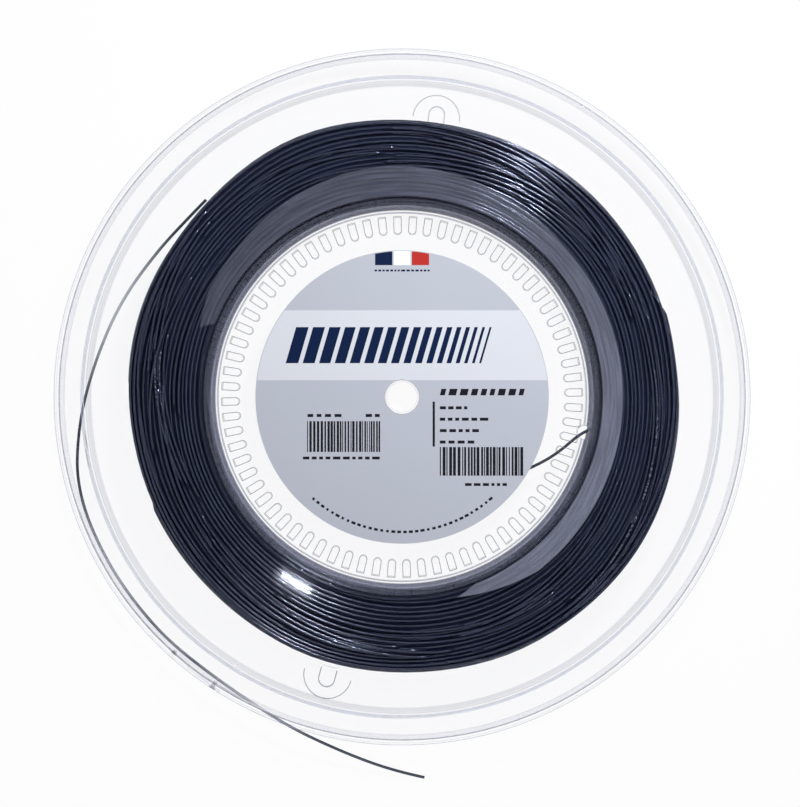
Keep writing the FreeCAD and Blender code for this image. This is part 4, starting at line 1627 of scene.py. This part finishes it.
@dataclass
class Studio:
    """Floor, world, lamps and camera of the packshot.

    Attributes:
        camera_place: Where the camera stands, straight above the reel.
        lens: Focal length for a 36 mm sensor, in millimetres.
        floor_half: Half the floor's width.
        floor_drop: How far the floor lies below the reel's rear face.
        shade_share: How much of the floor's shadow shows.
        ring_light: Strength of the ring of light overhead.
    """

    camera_place: tuple[float, float, float] = (-0.0009, -0.0028, 0.872)
    lens: float = 89.2
    floor_half: float = 8.0
    floor_drop: float = 0.0003
    shade_share: float = 0.06
    ring_light: float = 2.3

    def camera(self) -> None:
        """Makes the camera, looking straight down with the photograph's top towards +Y."""
        data = bpy.data.cameras.new("packshot_camera")
        data.lens = self.lens
        data.sensor_width = 36.0
        data.clip_start = 0.01
        data.clip_end = 30.0
        made = linked("packshot_camera", data)
        made.location = self.camera_place
        bpy.context.scene.camera = made

    def seen_rays(self, bench: Bench) -> bpy.types.NodeSocket:
        """Share of 1 for rays that come from the camera or from a mirror or glass."""
        path = bench.node("LightPath", {})
        names = ("Is Camera Ray", "Is Glossy Ray", "Is Transmission Ray")
        return bench.most([path.outputs[name] for name in names])

    def floor(self) -> None:
        """Makes the white floor, which keeps a share of the reel's shadow."""
        half = self.floor_half
        count = 9
        edge = np.linspace(-half, half, count)
        x, y = np.meshgrid(edge, edge, indexing="ij")
        points = np.stack([x, y, np.full_like(x, -self.floor_drop)], -1).reshape(-1, 3)
        number = np.arange(count ** 2).reshape(count, count)
        quads = np.stack([number[:-1, :-1], number[1:, :-1], number[1:, 1:], number[:-1, 1:]], -1)
        floor = mesh_object("studio_floor", points, quads.reshape(-1, 4))
        bench = Bench("studio_white")
        tone = bench.noise(3.0, 2.0)
        matt = bench.node("BsdfPrincipled", {
            "Base Color": bench.blend(tone, (0.86, 0.86, 0.87), (0.88, 0.88, 0.89)),
            "Roughness": 0.9,
            "Specular IOR Level": 0.1,
        }).outputs[0]
        glow = bench.node("Emission", {"Color": (1.0, 1.0, 1.0), "Strength": 1.0}).outputs[0]
        share = bench.sum("MULTIPLY", self.seen_rays(bench), 1 - self.shade_share)
        white = bench.node("MixShader", {0: share, 1: matt, 2: glow}).outputs[0]
        floor.data.materials.append(bench.show(white))

    def world(self) -> None:
        """Makes the surroundings: white walls, a ring of light overhead, and dark straight above."""
        walls = (0.08, 0.42, 0.45, 0.05)
        ring_foot, ring_top = (0.79, 0.83, 0.0, self.ring_light), (0.90, 0.94, 0.0, -self.ring_light)
        bench = Bench("studio_world", world=True)
        height = bench.node("SeparateXYZ", {0: bench.place}).outputs["Z"]
        strength, *others = [bench.step(height, *span) for span in (walls, ring_foot, ring_top)]
        for other in others:
            strength = bench.sum("ADD", strength, other)
        light = bench.node("Background", {"Color": (0.97, 0.98, 1.0), "Strength": strength}).outputs[0]
        bpy.context.scene.world = bench.show(light)

    def lamp(self, name: str, azimuth: float, elevation: float, distance: float, size: float,
             power: float, depth: float | None = None) -> None:
        """Makes a soft lamp that looks at the reel's middle.

        Args:
            name: Name of the lamp.
            azimuth: Its angle round the reel, anticlockwise from +X, in degrees.
            elevation: Its angle above the floor.
            distance: Its distance from the reel.
            size: Its width.
            power: Its power in watts.
            depth: Its size towards the reel, where that isn't its width.
        """
        data = bpy.data.lights.new(name, "AREA")
        data.shape = "RECTANGLE"
        data.size = size
        data.size_y = depth or size
        data.energy = power
        made = linked(name, data)
        turn, lift = math.radians(azimuth), math.radians(elevation)
        made.location = (distance * math.cos(lift) * math.cos(turn),
                         distance * math.cos(lift) * math.sin(turn), distance * math.sin(lift))
        made.rotation_euler = (math.pi / 2 - lift, 0.0, turn + math.pi / 2)

    def build(self) -> None:
        """Makes the whole studio and keeps the plain view transform."""
        bpy.context.scene.view_settings.view_transform = "Standard"
        self.camera()
        self.floor()
        self.world()
        self.lamp("key_lamp", 62, 52, 0.48, 0.075, 1.6, 0.036)
        self.lamp("slim_lamp", 240, 80.1, 1.27, 0.036, 0.19, 0.0055)


def main() -> None:
    """Builds the studio, the string, the clear spool, the band and the labels in that order."""
    logging.basicConfig(level=logging.INFO, format="%(name)s: %(message)s")
    Studio().build()
    string_skin = StringSkin("wound_string").material()
    plain_skin = StringSkin("single_string", deep=(0.016, 0.018, 0.026), light=(0.030, 0.033, 0.044),
                            painted_sheen_zones=PAINTED_SHEEN_ZONES, twisted=False, toned=False).material()
    loose = RoutedString("loose_end", "string_loose_end", "band", plain_skin, LOOSE_END_ROUTE).build()
    RoutedString("inner_end", "string_inner_end", "spool", plain_skin, INNER_END_ROUTE).build()
    bed_skin = StringSkin("packed_string", deep=(0.0100, 0.0130, 0.0320), light=(0.0150, 0.0195, 0.0450),
                          gloss=0.12, twisted=False, toned=False).material()
    Winding(string_skin, bed_skin).build()
    # The film has lines of painted shade at its two cut edges.
    film = ClearPlastic("clear_film", flat_share=0.02, steep_share=0.06, passed=(0.992, 0.992, 0.997),
                        levels=(Line(0.0061, 0.0005, 0.70), Line(-0.0061, 0.0005, 0.30)),
                        mirror=(0.96, 0.965, 1.0)).material()
    peg_plastic = ClearPlastic("peg_plastic", flat_share=0.30, sent=(0.22, 0.23, 0.27)).material()
    # Grey for painted shade: it darkens the outlines of small edges and the beads about the clip.
    painted_edge_shade = (0.13, 0.14, 0.18)
    edges = ClearPlastic("clear_edges", steep_share=1.3, steep_power=1.6, sent=painted_edge_shade).material()
    beads = {face: ClearPlastic(f"clear_{face.value}_beads", flat_share=share, steep_share=share,
                                steep_power=1.2, sent=painted_edge_shade).material()
             for face, share in ((Face.FRONT, 0.5), (Face.REAR, 0.3))}
    hinge = ClearPlastic("clear_hinge", steep_share=0.05).material()
    for face in Face:
        # Lines of painted shade where each half bends: at its step, its rim and the cup's foot.
        if face is Face.FRONT:
            bends = (Line(STEP_RADIUS, 0.0003, 0.50), Line(STEP_FOOT_RADIUS, 0.0002, 0.08))
        else:
            bends = (Line(0.1365, 0.0018, 0.085), Line(0.1357, 0.0003, 0.16), Line(0.1373, 0.0003, 0.20))
        bends += (Line(0.1486, 0.0002, 0.10), Line(0.0793, 0.0002, 0.50), Line(0.0809, 0.0008, 0.50),
                  Line(0.0817, 0.0008, 0.45))
        moulding = ClearPlastic(f"clear_{face.value}_moulding", bends=bends,
                                painted_reflection=PaintedReflectionZone(face is Face.REAR)).material()
        plastics = Plastics(moulding, edges, beads[face], hinge)
        half = ClearHalf(face, plastics)
        half.shell()
        half.tie_hole_bead()
        clip = Clip(face, plastics)
        clip.tongue()
        clip.slot_bead()
        clip.dish_bead()
    band = RimBand(film, peg_plastic)
    band.hoop()
    band.snap_pegs()
    paper = PrintedPaper("label_stock", (0.472, 0.496, 0.566)).material()
    inks = {ink: PrintedPaper(f"ink_{ink.name.lower()}", ink.value, 0.03, 0.45).material() for ink in Ink}
    for face in Face:
        Label(face, paper, inks).build()


if __name__ == "__main__":
    main()
